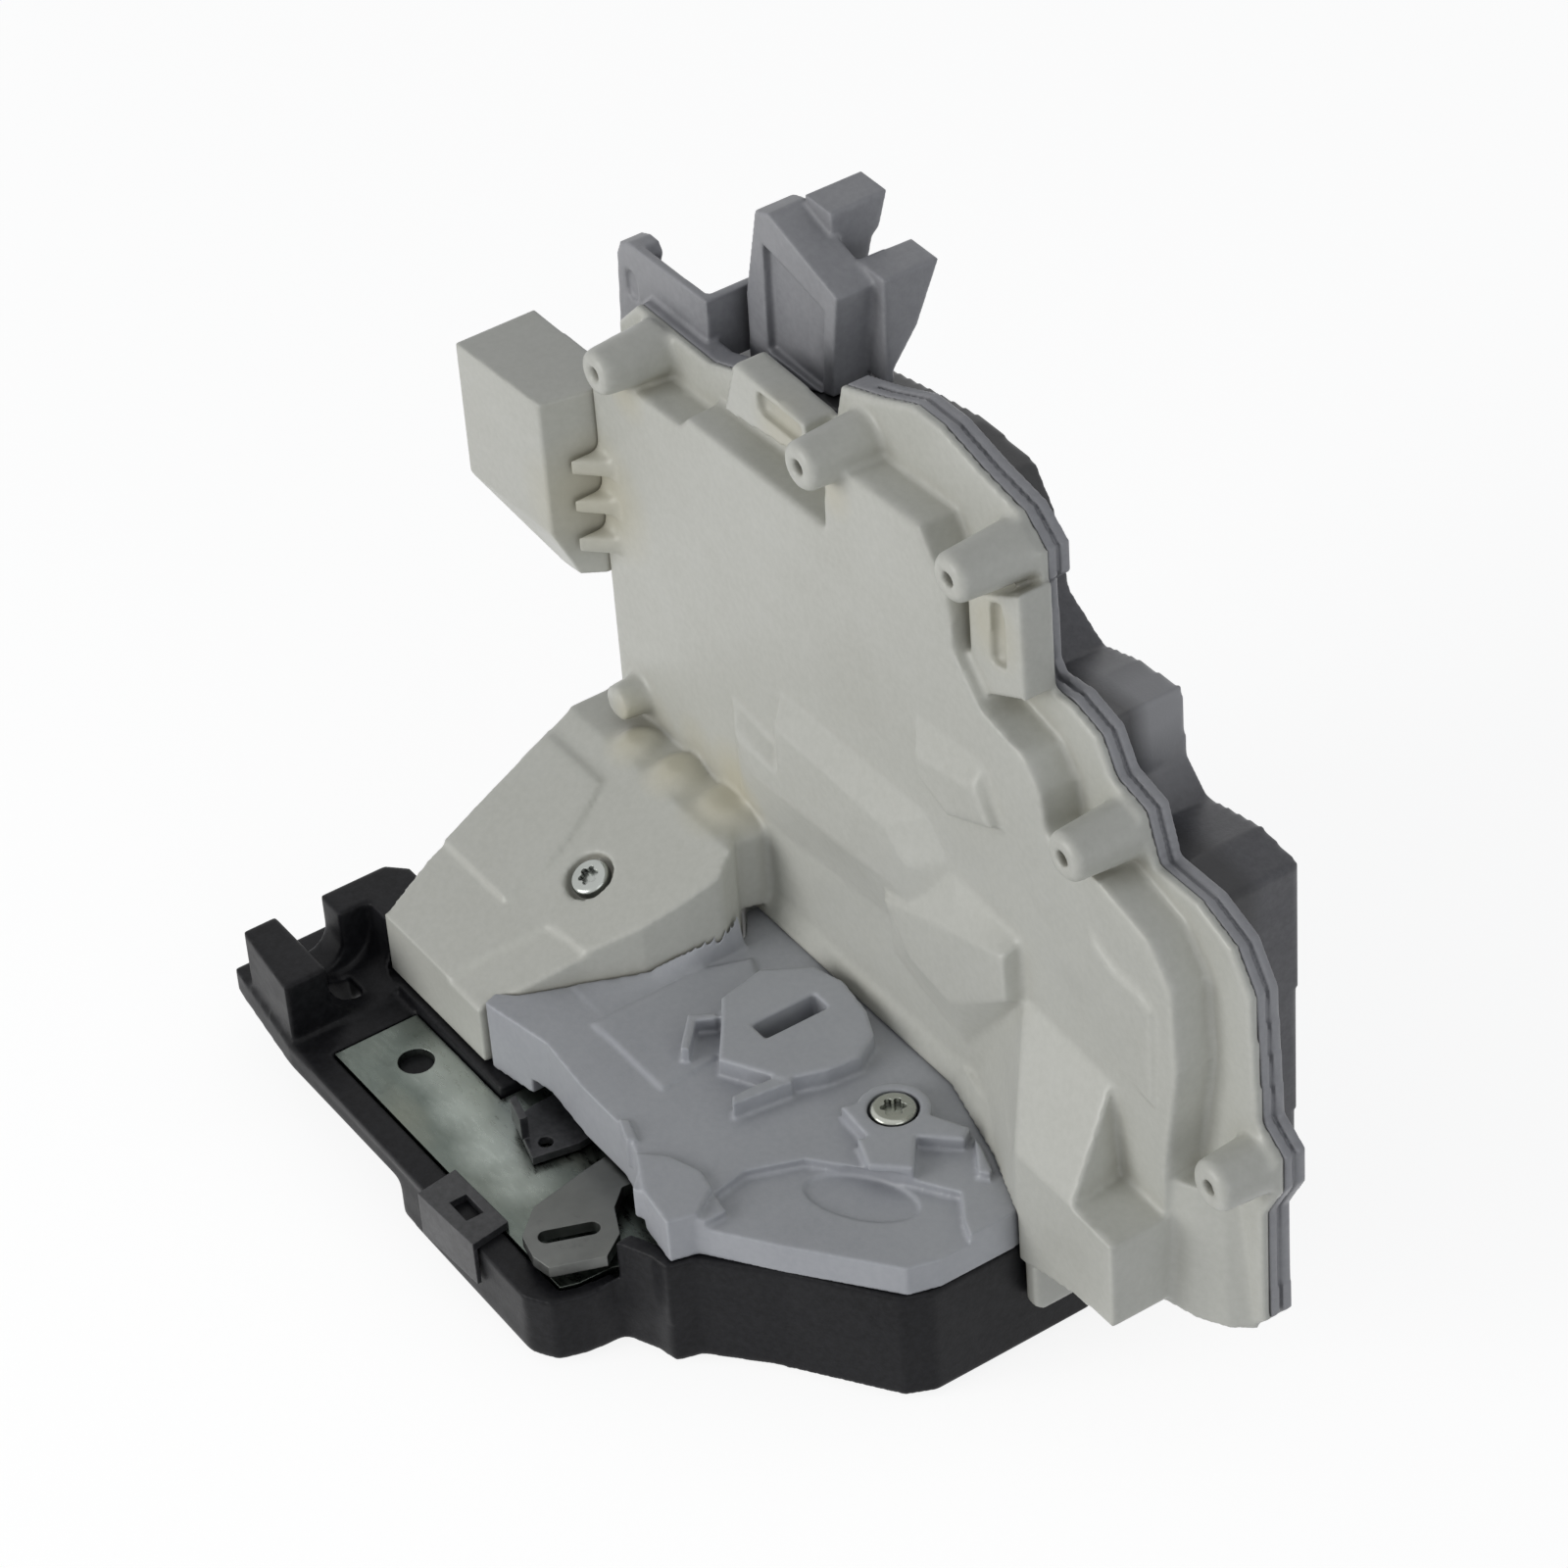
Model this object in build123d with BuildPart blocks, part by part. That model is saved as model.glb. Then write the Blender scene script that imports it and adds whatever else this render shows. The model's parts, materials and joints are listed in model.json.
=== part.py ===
from build123d import *
import math
import os

# Vehicle door latch with its electric lock actuator.
# The latch face lies on Z = 0 and the actuator wing stands up from it.
# +X runs along the wing towards its wide end, +Y from the lever side to the back of the wing.
# The origin is the middle of the two fixing threads in the latch face.

os.makedirs("parts", exist_ok=True)

# Driving dimensions, in millimetres

# Levels of the latch, counted up from the latch face
FACE_T = 2.5
CASE_FOOT = 0.6
CAVITY_TOP = 10.2
FLOOR_TOP = 11.2
BACK_PLATE_T = 1.5
ARM_Z = 7.4
SHELF_TOP = 14.5
WALL_TOP = 20.5
COVER_TOP = 27.6
COVER_WALL = 2.2
CASE_WALL = 2.6
PLATE_INSET = 1.8
FIT_GAP = 0.3
RUN_GAP = 0.05

# Fixing threads and striker mouth
BOLT_SPACING = 56.0
BOLT_HOLE_R = 2.5
COLLAR_R = 4.8
MOUTH_HALF = 6.0
MOUTH_FLARE = 10.0
MOUTH_END_Y = 10.5
FLARE_DEPTH = 7.0
MOUTH_TOP = 18.0

# Catch
FORK_X, FORK_Y = -16.0, 17.0
FORK_Z, FORK_T = 3.2, 4.6
FORK_OPEN = 62.0
FORK_BODY_R = 13.0
FORK_REACH = 22.0
FORK_HALF = 12.0
JAW_HALF = 4.75
JAW_ROOT = 10.2
FORK_PIN_R = 4.5
LUG_ANGLE = -75.0
LUG_HALF_ANGLE = 5.0
LUG_R = 16.2
JACKET_T = 0.9
SWEEP_GAP = 0.9
CAVITY_WALL = 3.0

# Pawl
PAWL_X, PAWL_Y = 15.0, -2.0
PAWL_HUB_R = 5.4
PAWL_PIN_R = 3.0
PAWL_SWING = 8.5
POST_R = 1.8
POST_REACH = 19.2
POST_ANGLE = 172.5
POST_TOP = 14.4
PIN_HEAD_T = 1.2

# Levers over the back plate
LEVER_X, LEVER_Y = -14.0, -6.0
LEVER_Z, LEVER_T = 14.7, 2.0
LEVER_PIN_R = 3.0
LOCK_X, LOCK_Y = -31.0, -1.0
LOCK_Z, LOCK_T = 13.0, 1.4
LOCK_PIN_R = 2.5

# Actuator wing
WING_Y = 28.0
RIM_Y = 34.6
PART_Y = 36.0
SHELL_T = 2.2
FRAME_T = 3.6
REAR_DEPTH = 15.9
EAR_Y, EAR_T = 38.0, 1.5
BOSS_R = 4.5
BOSS_DRAFT = 3.8
BOSS_NOSE = 0.8
BOSS_BORE_R = 1.2
WING_FOOT_Z = 27.65
LIP = 1.9
SLOPE_FOOT_Z = 35.18
SLOPE_RISE = 0.483
PAD_T = 0.7
HUMP_TOP = 2.6
HUMP_SHARE = 0.4
WEB_T = 3.2
WEB_PLATE_T = 1.2
EAR_MARK = 0.7
SEAM_T = 0.7
SEAM_DEPTH = 0.8
RIM_SEAM_X = -14
COLLAR_H = 2.6
COLLAR_STEP = 1.8
COLLAR_WALL = 1.2
REAR_WALL = 2.0

# Connector
PLUG_X0, PLUG_X1 = -102.0, -79.9
PLUG_Y0, PLUG_DEPTH = 18.6, 14.4
PLUG_Z0, PLUG_Z1 = 79.0, 103.0
PLUG_NECK_Z = 68.8
PLUG_WALL = 1.8

# Lock drive
MOTOR_W, MOTOR_D, MOTOR_H = 20.0, 15.0, 25.0
WORM_X, WORM_Y = -52.0, 41.2
WORM_Z0, WORM_Z1 = 55.0, 69.0
WORM_R, WORM_ROOT_R = 4.2, 2.7
WORM_PITCH = 2.6
GEAR_TEETH = 30
GEAR_Z = 62.0
GEAR_T = 4.6
PINION_TEETH = 12
PINION_MODULE = 1.0
PINION_T = 5.0
SLIDER_Z0, SLIDER_Z1 = 46.0, 78.0

# Sizes that follow from the ones above

BACK_TOP = FLOOR_TOP + BACK_PLATE_T
CAVITY_BACK_Y = FORK_Y + math.hypot(FORK_REACH, FORK_HALF) + SWEEP_GAP
CASE_BACK_Y = CAVITY_BACK_Y + CAVITY_WALL
COVER_FOOT = SHELF_TOP + 0.1
BOSS_STEP = 3.4
SHELF_DROP = 1.6
DISH_DEPTH = 0.5
SHELF_EDGE = [(9.3, -14.2), (8.1, -7.9), (11.4, 0.4), (19.7, 7), (31.2, 14.3), (36.1, 11.3), (45, 8), (45, -10),
              (13.4, -21), (13.4, -14.6)]
SEAT_TOP = 24.0
SLOT_CENTRE = JAW_ROOT + JAW_HALF
JACKET_SKIN = 0.35
COVER_SCREW_X, COVER_SCREW_Y = 12.6, 15.5
COVER_SCREW_R = 1.75
SIDE_SCREW_X, SIDE_SCREW_Y = -52.2, 5.2
SIDE_SCREW_R = 1.6
SIDE_SCREW_HEAD_R = 3.2
PINION_R = PINION_MODULE * PINION_TEETH / 2
GEAR_R = GEAR_TEETH * WORM_PITCH / (2 * math.pi)
GEAR_X = WORM_X + GEAR_R + (WORM_R + WORM_ROOT_R) / 2
GEAR_Y1 = WORM_Y + GEAR_T / 2
GEAR_PIN_R = 1.5
GEAR_PHASE = 0.0
RACK_PHASE = PINION_MODULE * math.pi / 2
REAR_WALL_Y = PART_Y + FRAME_T + REAR_DEPTH
INNER_X, INNER_Z = 12.0, 72.0
INNER_PIN_R = 2.5


ON_FOOT = (Align.CENTER, Align.CENTER, Align.MIN)


def outline(points):
    """Closed straight-sided face through the given points."""
    Polygon(*points, align=None)


def polar(cx, cy, radius, degrees):
    """Point at a radius and an angle from a centre."""
    return (cx + radius * math.cos(math.radians(degrees)), cy + radius * math.sin(math.radians(degrees)))


def front_plane(y):
    """Sketch plane across the wing: sketch x is X, sketch y is Z, and extrusion goes to -Y."""
    return Plane(origin=(0, y, 0), x_dir=(1, 0, 0), z_dir=(0, -1, 0))


def side_plane(x):
    """Sketch plane along the latch: sketch x is Y, sketch y is Z, and extrusion goes to +X."""
    return Plane(origin=(x, 0, 0), x_dir=(0, 1, 0), z_dir=(1, 0, 0))


def slope_z(y):
    """Height of the shoulder's slope at a place along Y."""
    return SLOPE_FOOT_Z + SLOPE_RISE * y


def slope_plane(lift):
    """Sketch plane on the shoulder's slope: sketch x is X, and sketch y runs up the slope."""
    return Plane(origin=(0, 0, SLOPE_FOOT_Z + lift), x_dir=(1, 0, 0), z_dir=(0, -SLOPE_RISE, 1))


def on_slope(points):
    """Closed outline on the slope from places given in X and Y."""
    stretch = math.hypot(1, SLOPE_RISE)
    outline([(x, y * stretch) for x, y in points])


def save(piece, name):
    """Name a finished piece and write it."""
    piece.part.label = name
    export_step(piece.part, f"parts/{name}.step")


# Outlines that several pieces share

CASE_OUTLINE = [
    (-41, -40), (-3.5, -40.5), (0.6, -38), (2.2, -33), (2.4, -27.5), (8, -25), (11.5, -24.5), (12.6, -20.5),
    (23, -11.5), (37.5, -1.5), (39.5, 3), (39, CASE_BACK_Y - 4), (35, CASE_BACK_Y), (-36, CASE_BACK_Y),
    (-41, CASE_BACK_Y - 6),
]
ARM_OUTLINE = [
    (-94, -37.5), (-73, -40), (-41, -40), (-41, 12), (-77, 12), (-84, -4), (-88, -9), (-94, -12),
]
FACE_EDGE = [
    (-78, WING_FOOT_Z), (38, WING_FOOT_Z), (38, 21), (61.5, 21), (62.5, 48), (65.5, 67), (64.8, 81), (59.5, 87.4),
    (48.5, 90.5), (36.5, 91), (35.5, 97.4), (32, 101.7), (22, 104), (15.8, 111), (15.2, 119.4), (9, 128),
    (-14.4, 127), (-15.5, 113.5), (-51, 113), (-53.5, 110.2), (-78, 109.5),
]
RIM_EDGE = [
    (-79.5, WING_FOOT_Z), (37.5, WING_FOOT_Z), (37.5, 20.6), (73, 20.6), (76, 24), (75.8, 44.4), (79.4, 51.2),
    (79.4, 57), (74.9, 60.4), (73.5, 82.8), (69.5, 89), (62, 92), (52.4, 92), (49.6, 99.8), (43, 101.6), (39.9, 107),
    (33.3, 109), (27, 108.3), (25.8, 110), (25.4, 123.5), (28.5, 126.5), (28.5, 131.5), (23.5, 135.5),
    (14.6, 137.2), (5.6, 139.6), (-1.4, 139.5), (-10, 136), (-19, 133), (-22, 122), (-45, 121), (-55, 117.5),
    (-74, 117.5), (-79.5, 112),
]
COVER_EDGE = [
    (-47, -18.5), (-33.5, -16), (-22.4, -17), (-11.6, -17), (1, -19.6), (8.5, -22.5), (12.8, -19), (23, -11.8),
    (38, -0.3), (39.4, 4.5), (39.4, 17.6), (37.2, 27), (37.2, CASE_BACK_Y - 2), (-40, CASE_BACK_Y - 2),
    (-40, 24.6), (-35.6, 21.5), (-33.2, 16.8), (-34.5, 11.1), (-36.8, 4.2), (-41.6, -4.6), (-45.4, -13.4), (-48, -16.1),
]
SHOULDER_EDGE = [
    (-76, -19), (-48.2, -19), (-48.2, -15.9), (-45.6, -13.2), (-41.8, -4.4), (-37, 4.4), (-34.8, 11.2), (-33.5, 16.8),
    (-36, 21), (-42, 25.2), (-46.5, 27.6), (-46.5, 34), (-81, 34), (-81, 20), (-78, -10),
]
# Sections of the cover's raised band: place along Y, left edge, and height of its upper edge
BAND_SECTIONS = [
    (-6, -42.1, 27.8), (-4.4, -41.4, 27.9), (4.4, -36.6, 29), (11.2, -34.4, 31.6), (16.8, -33.3, 33.6),
    (20, -34.6, 34.2),
]
# Round humps where the shoulder runs up into the wing: centre, radius and height of the rim
HUMPS = [(-66, 23.5, 5.2, 44.2), (-56, 24.5, 5.6, 44.6), (-45, 26.5, 7.6, 43.8)]
REAR_EDGE = [
    (-77.4, 34), (56.8, 30), (58, 85.8), (49.5, 87.1), (37.2, 84.5), (32.8, 88.8), (31.9, 100.6), (21.7, 99.5),
    (13.6, 97.2), (5.6, 102.1), (2.8, 114.3), (-1.6, 120.4), (-13.3, 121.4), (-25.4, 119.4), (-38, 117), (-51.5, 112),
    (-77.4, 104.5),
]
# Low steps in the wing's face: outline and depth at the face, then outline and depth at the crest
WING_RELIEFS = [
    ([(-44.4, 65.3), (-32.5, 63.8), (-30.2, 74.8), (7.2, 75.7), (12, 70), (12, 50), (-44, 45)], 0,
     [(-40.4, 62.4), (-28.7, 61.3), (-28.7, 70.8), (-0.5, 70.2), (5, 66), (4, 60), (-38, 57)], 2.8),
    ([(-4.5, 57), (13.2, 68.7), (29.5, 67), (30, 56), (14, 36), (-4, 42)], 0,
     [(-1, 56), (16.5, 61.5), (28.9, 65.2), (29.2, 57), (15, 47), (5, 49)], 3.2),
    ([(5.7, 93.4), (22, 94.2), (26.2, 85.5), (14.5, 80.8), (7, 83)], 0,
     [(7.6, 88), (21.6, 90.6), (25.6, 86), (14.8, 81.4), (8, 84)], 1.9),
    ([(46, 81), (52.1, 77.5), (58.5, 77), (61, 75.5), (60.8, 57.5), (45, 58), (38, 70)], 0,
     [(47.5, 79.2), (52, 76.9), (58.2, 76.5), (60.5, 75.2), (60.3, 58.1), (53, 62), (47, 70)], 0.7),
    ([(14, 27.75), (29.5, 57), (50.7, 55.5), (52, 38.8), (52, 27.75)], 0,
     [(39.6, 27.75), (39.6, 39.5), (53.6, 39), (53.8, 38.2), (53.8, 27.75)], 10),
]
WING_BOSSES = [(-67.8, 113.8, 22.6), (-12.7, 128, 22.6), (23.8, 130.2, 22.4), (46.5, 95.6, 23.5), (74.9, 54, 26)]


def mouth_outline(spread=0.0):
    """Striker mouth, open to the +Y edge of the latch and flared at its way in."""
    half = MOUTH_HALF + spread
    flare = MOUTH_FLARE + spread
    centre_y = MOUTH_END_Y + MOUTH_HALF
    outline([
        (-half, centre_y), (half, centre_y), (half, CASE_BACK_Y - FLARE_DEPTH), (flare, CASE_BACK_Y + 1),
        (-flare, CASE_BACK_Y + 1), (-half, CASE_BACK_Y - FLARE_DEPTH),
    ])
    with Locations((0, centre_y)):
        Circle(half)


def pin_holes():
    """Holes for the pins of the catch and the pawl."""
    with Locations((FORK_X, FORK_Y)):
        Circle(FORK_PIN_R + RUN_GAP)
    with Locations((PAWL_X, PAWL_Y)):
        Circle(PAWL_PIN_R + RUN_GAP)


def post_slot():
    """Curved slot that the pawl's post sweeps."""
    path = CenterArc((PAWL_X, PAWL_Y), POST_REACH, POST_ANGLE, PAWL_SWING, mode=Mode.PRIVATE)
    SlotArc(path, 2 * POST_R + 1.2)


# Latch case

with BuildPart() as latch_case:
    with BuildSketch(Plane.XY.offset(CASE_FOOT)):
        outline(CASE_OUTLINE)
    extrude(amount=FLOOR_TOP - CASE_FOOT)
    with BuildSketch(Plane.XY.offset(ARM_Z)):
        outline(ARM_OUTLINE)
    extrude(amount=FLOOR_TOP - ARM_Z)
    # Wall round the covered end
    with BuildSketch(Plane.XY.offset(FLOOR_TOP)):
        outline(CASE_OUTLINE)
        offset(amount=-CASE_WALL, mode=Mode.SUBTRACT)
    extrude(amount=WALL_TOP - FLOOR_TOP)
    with BuildSketch(Plane.XY.offset(FLOOR_TOP)):
        outline([(-50, -50), (2.3, -50), (2.3, 0), (-30, 0), (-30, 34.5), (-50, 34.5)])
    extrude(amount=WALL_TOP - FLOOR_TOP, mode=Mode.SUBTRACT)
    # Raised rim in front of the back plate and the shelf behind it
    with BuildSketch(Plane.XY.offset(FLOOR_TOP)):
        outline([(-94, -37.5), (-73, -40), (-3.5, -40.5), (0.6, -38), (2.2, -33), (2.4, -27.5), (0.3, -27.5),
                 (-0.2, -33), (-1.2, -35.6), (-67, -35.6), (-67, -20.2), (-84, -12), (-94, -12)])
    extrude(amount=BACK_PLATE_T)
    with BuildSketch(Plane.XY.offset(FLOOR_TOP)):
        outline([(-79, -20.2), (-42, -20.2), (-42, 12), (-77, 12), (-80, 0)])
    extrude(amount=SHELF_TOP - FLOOR_TOP)
    # Conduit seat at the end of the arm
    with BuildSketch(Plane.XY.offset(FLOOR_TOP)):
        outline([(-88.6, -37.5), (-72.6, -39.2), (-72.6, -21), (-76.5, -19.4), (-78.6, -9), (-85.5, -9), (-88.6, -12)])
    extrude(amount=SEAT_TOP - FLOOR_TOP)
    with BuildSketch(side_plane(-90)):
        with Locations((-27.6, 18.5)):
            Circle(4)
        with Locations((-27.6, 24)):
            Rectangle(8, 11)
    extrude(amount=20, mode=Mode.SUBTRACT)
    with BuildSketch(side_plane(-82.5)):
        with Locations((-25, 19.5)):
            Circle(6.6)
        with Locations((-25, 24)):
            Rectangle(13.2, 9)
    extrude(amount=20, mode=Mode.SUBTRACT)
    with BuildSketch(Plane.XY):
        with Locations((-78.5, -27.5)):
            Rectangle(5, 6)
    extrude(amount=14, mode=Mode.SUBTRACT)
    # Pocket for the face plate and the cavity of the catch
    with BuildSketch(Plane.XY):
        outline(CASE_OUTLINE)
        offset(amount=-PLATE_INSET + RUN_GAP, mode=Mode.REPLACE)
    extrude(amount=FACE_T, mode=Mode.SUBTRACT)
    with BuildSketch(Plane.XY.offset(FACE_T)):
        outline([(-38, -10), (14, -10), (21.5, -8.5), (34.5, 1), (36.3, 5), (36, CAVITY_BACK_Y - 1),
                 (34, CAVITY_BACK_Y), (-35, CAVITY_BACK_Y), (-38, CAVITY_BACK_Y - 4)])
        with Locations((-BOLT_SPACING / 2, 0), (BOLT_SPACING / 2, 0)):
            Circle(COLLAR_R + RUN_GAP)
    extrude(amount=CAVITY_TOP - FACE_T, mode=Mode.SUBTRACT)
    with BuildSketch(Plane.XY):
        mouth_outline()
    extrude(amount=MOUTH_TOP, mode=Mode.SUBTRACT)
    with BuildSketch(Plane.XY.offset(CAVITY_TOP)):
        pin_holes()
        post_slot()
    extrude(amount=FLOOR_TOP - CAVITY_TOP, mode=Mode.SUBTRACT)

save(latch_case, "latch_case")

# Face plate that the door's screws pull up to

with BuildPart() as face_plate:
    with BuildSketch(Plane.XY):
        outline(CASE_OUTLINE)
        offset(amount=-PLATE_INSET, mode=Mode.REPLACE)
    extrude(amount=FACE_T)
    with BuildSketch(Plane.XY.offset(FACE_T)):
        with Locations((-BOLT_SPACING / 2, 0), (BOLT_SPACING / 2, 0)):
            Circle(COLLAR_R)
    extrude(amount=CAVITY_TOP - FACE_T)
    with BuildSketch(Plane.XY):
        mouth_outline()
        pin_holes()
        with Locations((-BOLT_SPACING / 2, 0), (BOLT_SPACING / 2, 0)):
            Circle(BOLT_HOLE_R)
    extrude(amount=CAVITY_TOP, mode=Mode.SUBTRACT)

save(face_plate, "face_plate")

# Zinc-plated back plate

with BuildPart() as back_plate:
    with BuildSketch(Plane.XY.offset(FLOOR_TOP)):
        outline(CASE_OUTLINE)
        offset(amount=-CASE_WALL - FIT_GAP, mode=Mode.REPLACE)
        with Locations((0, -35.3)):
            Rectangle(120, 10, align=(Align.CENTER, Align.MAX), mode=Mode.SUBTRACT)
        outline([(-66.5, -35.3), (-66.5, -20.5), (-41.7, -20.5), (-41.7, 12.3), (-30, 12.3), (-30, -20), (0, -24),
                 (-1.8, -35.3)])
    extrude(amount=BACK_PLATE_T)
    with BuildSketch(Plane.XY.offset(FLOOR_TOP)):
        mouth_outline(0.5)
        pin_holes()
        post_slot()
        with Locations((-57.3, -26.2)):
            Circle(2.9)
        with Locations((COVER_SCREW_X, COVER_SCREW_Y)):
            Circle(COVER_SCREW_R + RUN_GAP)
        with Locations((LEVER_X, LEVER_Y)):
            Circle(LEVER_PIN_R + RUN_GAP)
        with Locations((LOCK_X, LOCK_Y)):
            Circle(LOCK_PIN_R + RUN_GAP)
    extrude(amount=BACK_PLATE_T, mode=Mode.SUBTRACT)

save(back_plate, "back_plate")

# Spring clip over the front rim of the case

with BuildPart() as edge_clip:
    with BuildSketch(Plane.XY.offset(BACK_TOP)):
        outline([(-30.4, -42.1), (-31.4, -34.9), (-16.9, -34.6), (-15.9, -41.4)])
    extrude(amount=1.4)
    with BuildSketch(Plane.XY.offset(6)):
        outline([(-30.4, -42.1), (-30.4, -40.7), (-15.9, -40.7), (-15.9, -41.4)])
    extrude(amount=BACK_TOP - 6)
    with BuildSketch(Plane.XY.offset(BACK_TOP)):
        with Locations((-23.3, -37.9)):
            Rectangle(5, 3)
    extrude(amount=1.4, mode=Mode.SUBTRACT)

save(edge_clip, "edge_clip")

# Catch with its steel core, and the plastic jacket that takes the striker's blow

fork_rest = Plane(origin=(FORK_X, FORK_Y, FORK_Z), z_dir=(0, 0, 1),
                  x_dir=(math.cos(math.radians(FORK_OPEN)), math.sin(math.radians(FORK_OPEN)), 0))


def jaw(outer_half, slot_half, reach):
    """Two prongs with the striker's slot between them, in the catch's own plane."""
    with Locations((reach / 2, 0)):
        Rectangle(reach, 2 * outer_half)
    Circle(FORK_BODY_R)
    with Locations((reach / 2 + SLOT_CENTRE, 0)):
        Rectangle(reach, 2 * slot_half, mode=Mode.SUBTRACT)
    with Locations((SLOT_CENTRE, 0)):
        Circle(slot_half, mode=Mode.SUBTRACT)


with BuildPart() as forkbolt:
    with BuildSketch(fork_rest):
        jaw(FORK_HALF - JACKET_T, JAW_HALF + JACKET_T, FORK_REACH - JACKET_T)
        outline([polar(0, 0, FORK_BODY_R - 1, LUG_ANGLE - LUG_HALF_ANGLE - 6),
                 polar(0, 0, LUG_R, LUG_ANGLE - LUG_HALF_ANGLE), polar(0, 0, LUG_R, LUG_ANGLE + LUG_HALF_ANGLE),
                 polar(0, 0, FORK_BODY_R - 1, LUG_ANGLE + LUG_HALF_ANGLE)])
        Circle(FORK_PIN_R + RUN_GAP, mode=Mode.SUBTRACT)
    extrude(amount=FORK_T)

save(forkbolt, "forkbolt")

with BuildPart() as fork_jacket:
    with BuildSketch(fork_rest.offset(-JACKET_SKIN)):
        jaw(FORK_HALF, JAW_HALF, FORK_REACH)
        with Locations((-FORK_BODY_R, 0)):
            Rectangle(4 * FORK_BODY_R - 14, 3 * FORK_BODY_R, mode=Mode.SUBTRACT)
    extrude(amount=FORK_T + 2 * JACKET_SKIN)
    add(forkbolt.part, mode=Mode.SUBTRACT)

save(fork_jacket, "fork_jacket")

# Pawl, drawn engaged and turned out to its rest

pawl_rest = Plane(origin=(PAWL_X, PAWL_Y, FORK_Z), z_dir=(0, 0, 1),
                  x_dir=(math.cos(math.radians(PAWL_SWING)), math.sin(math.radians(PAWL_SWING)), 0))

with BuildPart() as pawl:
    with BuildSketch(pawl_rest):
        Circle(PAWL_HUB_R)
        outline([(0, 5.3), (-10, 5.8), (-17, 6.1), (-26.1, 6.3), (-24.7, 2.4), (-21, -0.4), (-12, -3), (0, -5.3)])
        Circle(PAWL_PIN_R + RUN_GAP, mode=Mode.SUBTRACT)
    extrude(amount=FORK_T)
    with BuildSketch(pawl_rest.offset(FORK_T)):
        with Locations(polar(0, 0, POST_REACH, POST_ANGLE)):
            Circle(POST_R)
    extrude(amount=POST_TOP - FORK_Z - FORK_T)

save(pawl, "pawl")


def stepped_pin(x, y, z0, z1, radius, head_t, head_r):
    """Round pin with a riveted head on its upper end."""
    with Locations((x, y, z0)):
        Cylinder(radius, z1 - z0, align=ON_FOOT)
    with Locations((x, y, z1)):
        Cylinder(head_r, head_t, align=ON_FOOT)
    chamfer(faces().sort_by(Axis.Z)[-1].edges(), 0.4)


with BuildPart() as fork_pin:
    stepped_pin(FORK_X, FORK_Y, 0, BACK_TOP, FORK_PIN_R, PIN_HEAD_T, 6.2)
save(fork_pin, "fork_pin")

with BuildPart() as pawl_pin:
    stepped_pin(PAWL_X, PAWL_Y, 0, BACK_TOP, PAWL_PIN_R, PIN_HEAD_T, 4.4)
save(pawl_pin, "pawl_pin")

with BuildPart() as lever_pin:
    stepped_pin(LEVER_X, LEVER_Y, FLOOR_TOP, LEVER_Z + LEVER_T + FIT_GAP, LEVER_PIN_R, PIN_HEAD_T, 4.6)
    with Locations((LEVER_X, LEVER_Y, BACK_TOP)):
        Cylinder(4.6, LEVER_Z - BACK_TOP - FIT_GAP, align=ON_FOOT)
save(lever_pin, "lever_pin")

with BuildPart() as lock_pin:
    stepped_pin(LOCK_X, LOCK_Y, FLOOR_TOP, LOCK_Z + LOCK_T + RUN_GAP, LOCK_PIN_R, 0.9, 3.8)
save(lock_pin, "lock_pin")


# Torsion springs round the two pins, held by the case

with BuildPart() as fork_spring:
    fork_coil = Helix(pitch=1.1, height=1.0, radius=FORK_PIN_R + 1.7, center=(FORK_X, FORK_Y, FORK_Z + FORK_T + 0.88))
    with BuildSketch(Plane(origin=fork_coil @ 0, z_dir=fork_coil % 0)):
        Rectangle(0.8, 0.8)
    sweep(path=fork_coil, is_frenet=True)
save(fork_spring, "fork_spring")

with BuildPart() as pawl_spring:
    pawl_coil = Helix(pitch=0.95, height=1.3, radius=PAWL_PIN_R + 1.4, center=(PAWL_X, PAWL_Y, FORK_Z + FORK_T + 0.6))
    with BuildSketch(Plane(origin=pawl_coil @ 0, z_dir=pawl_coil % 0)):
        Rectangle(0.7, 0.7)
    sweep(path=pawl_coil, is_frenet=True)
save(pawl_spring, "pawl_spring")

with BuildPart() as striker_bumper:
    with BuildSketch(Plane.XY.offset(CAVITY_TOP + 0.1)):
        with Locations((0, MOUTH_END_Y + MOUTH_HALF)):
            Circle(MOUTH_HALF - 0.02)
            Circle(MOUTH_HALF - 1.4, mode=Mode.SUBTRACT)
            Rectangle(20, 20, align=(Align.CENTER, Align.MIN), mode=Mode.SUBTRACT)
    extrude(amount=3.4)
save(striker_bumper, "striker_bumper")

# Release lever with the cable's slotted eye

with BuildPart() as release_lever:
    with BuildSketch(Plane.XY.offset(LEVER_Z)):
        outline([(-18.5, -8), (-16.9, -20.3), (-14.7, -31.2), (-10.4, -35.9), (-5.9, -36.9), (-2.4, -36.3),
                 (0.8, -28.2), (-2.1, -24.1), (-7.3, -21.7), (-10.2, -18.5), (-9.6, -8)])
        with Locations((LEVER_X, LEVER_Y)):
            Circle(6)
        outline([(-13, -11.5), (0, -6), (0.5, -1), (-5, 0.5), (-14, 0)])
        with Locations((LEVER_X, LEVER_Y)):
            Circle(LEVER_PIN_R + RUN_GAP, mode=Mode.SUBTRACT)
        with Locations(Location((-6.9, -29.9), 68)):
            SlotOverall(9.4, 2.8, mode=Mode.SUBTRACT)
    extrude(amount=LEVER_T)
save(release_lever, "release_lever")

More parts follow.
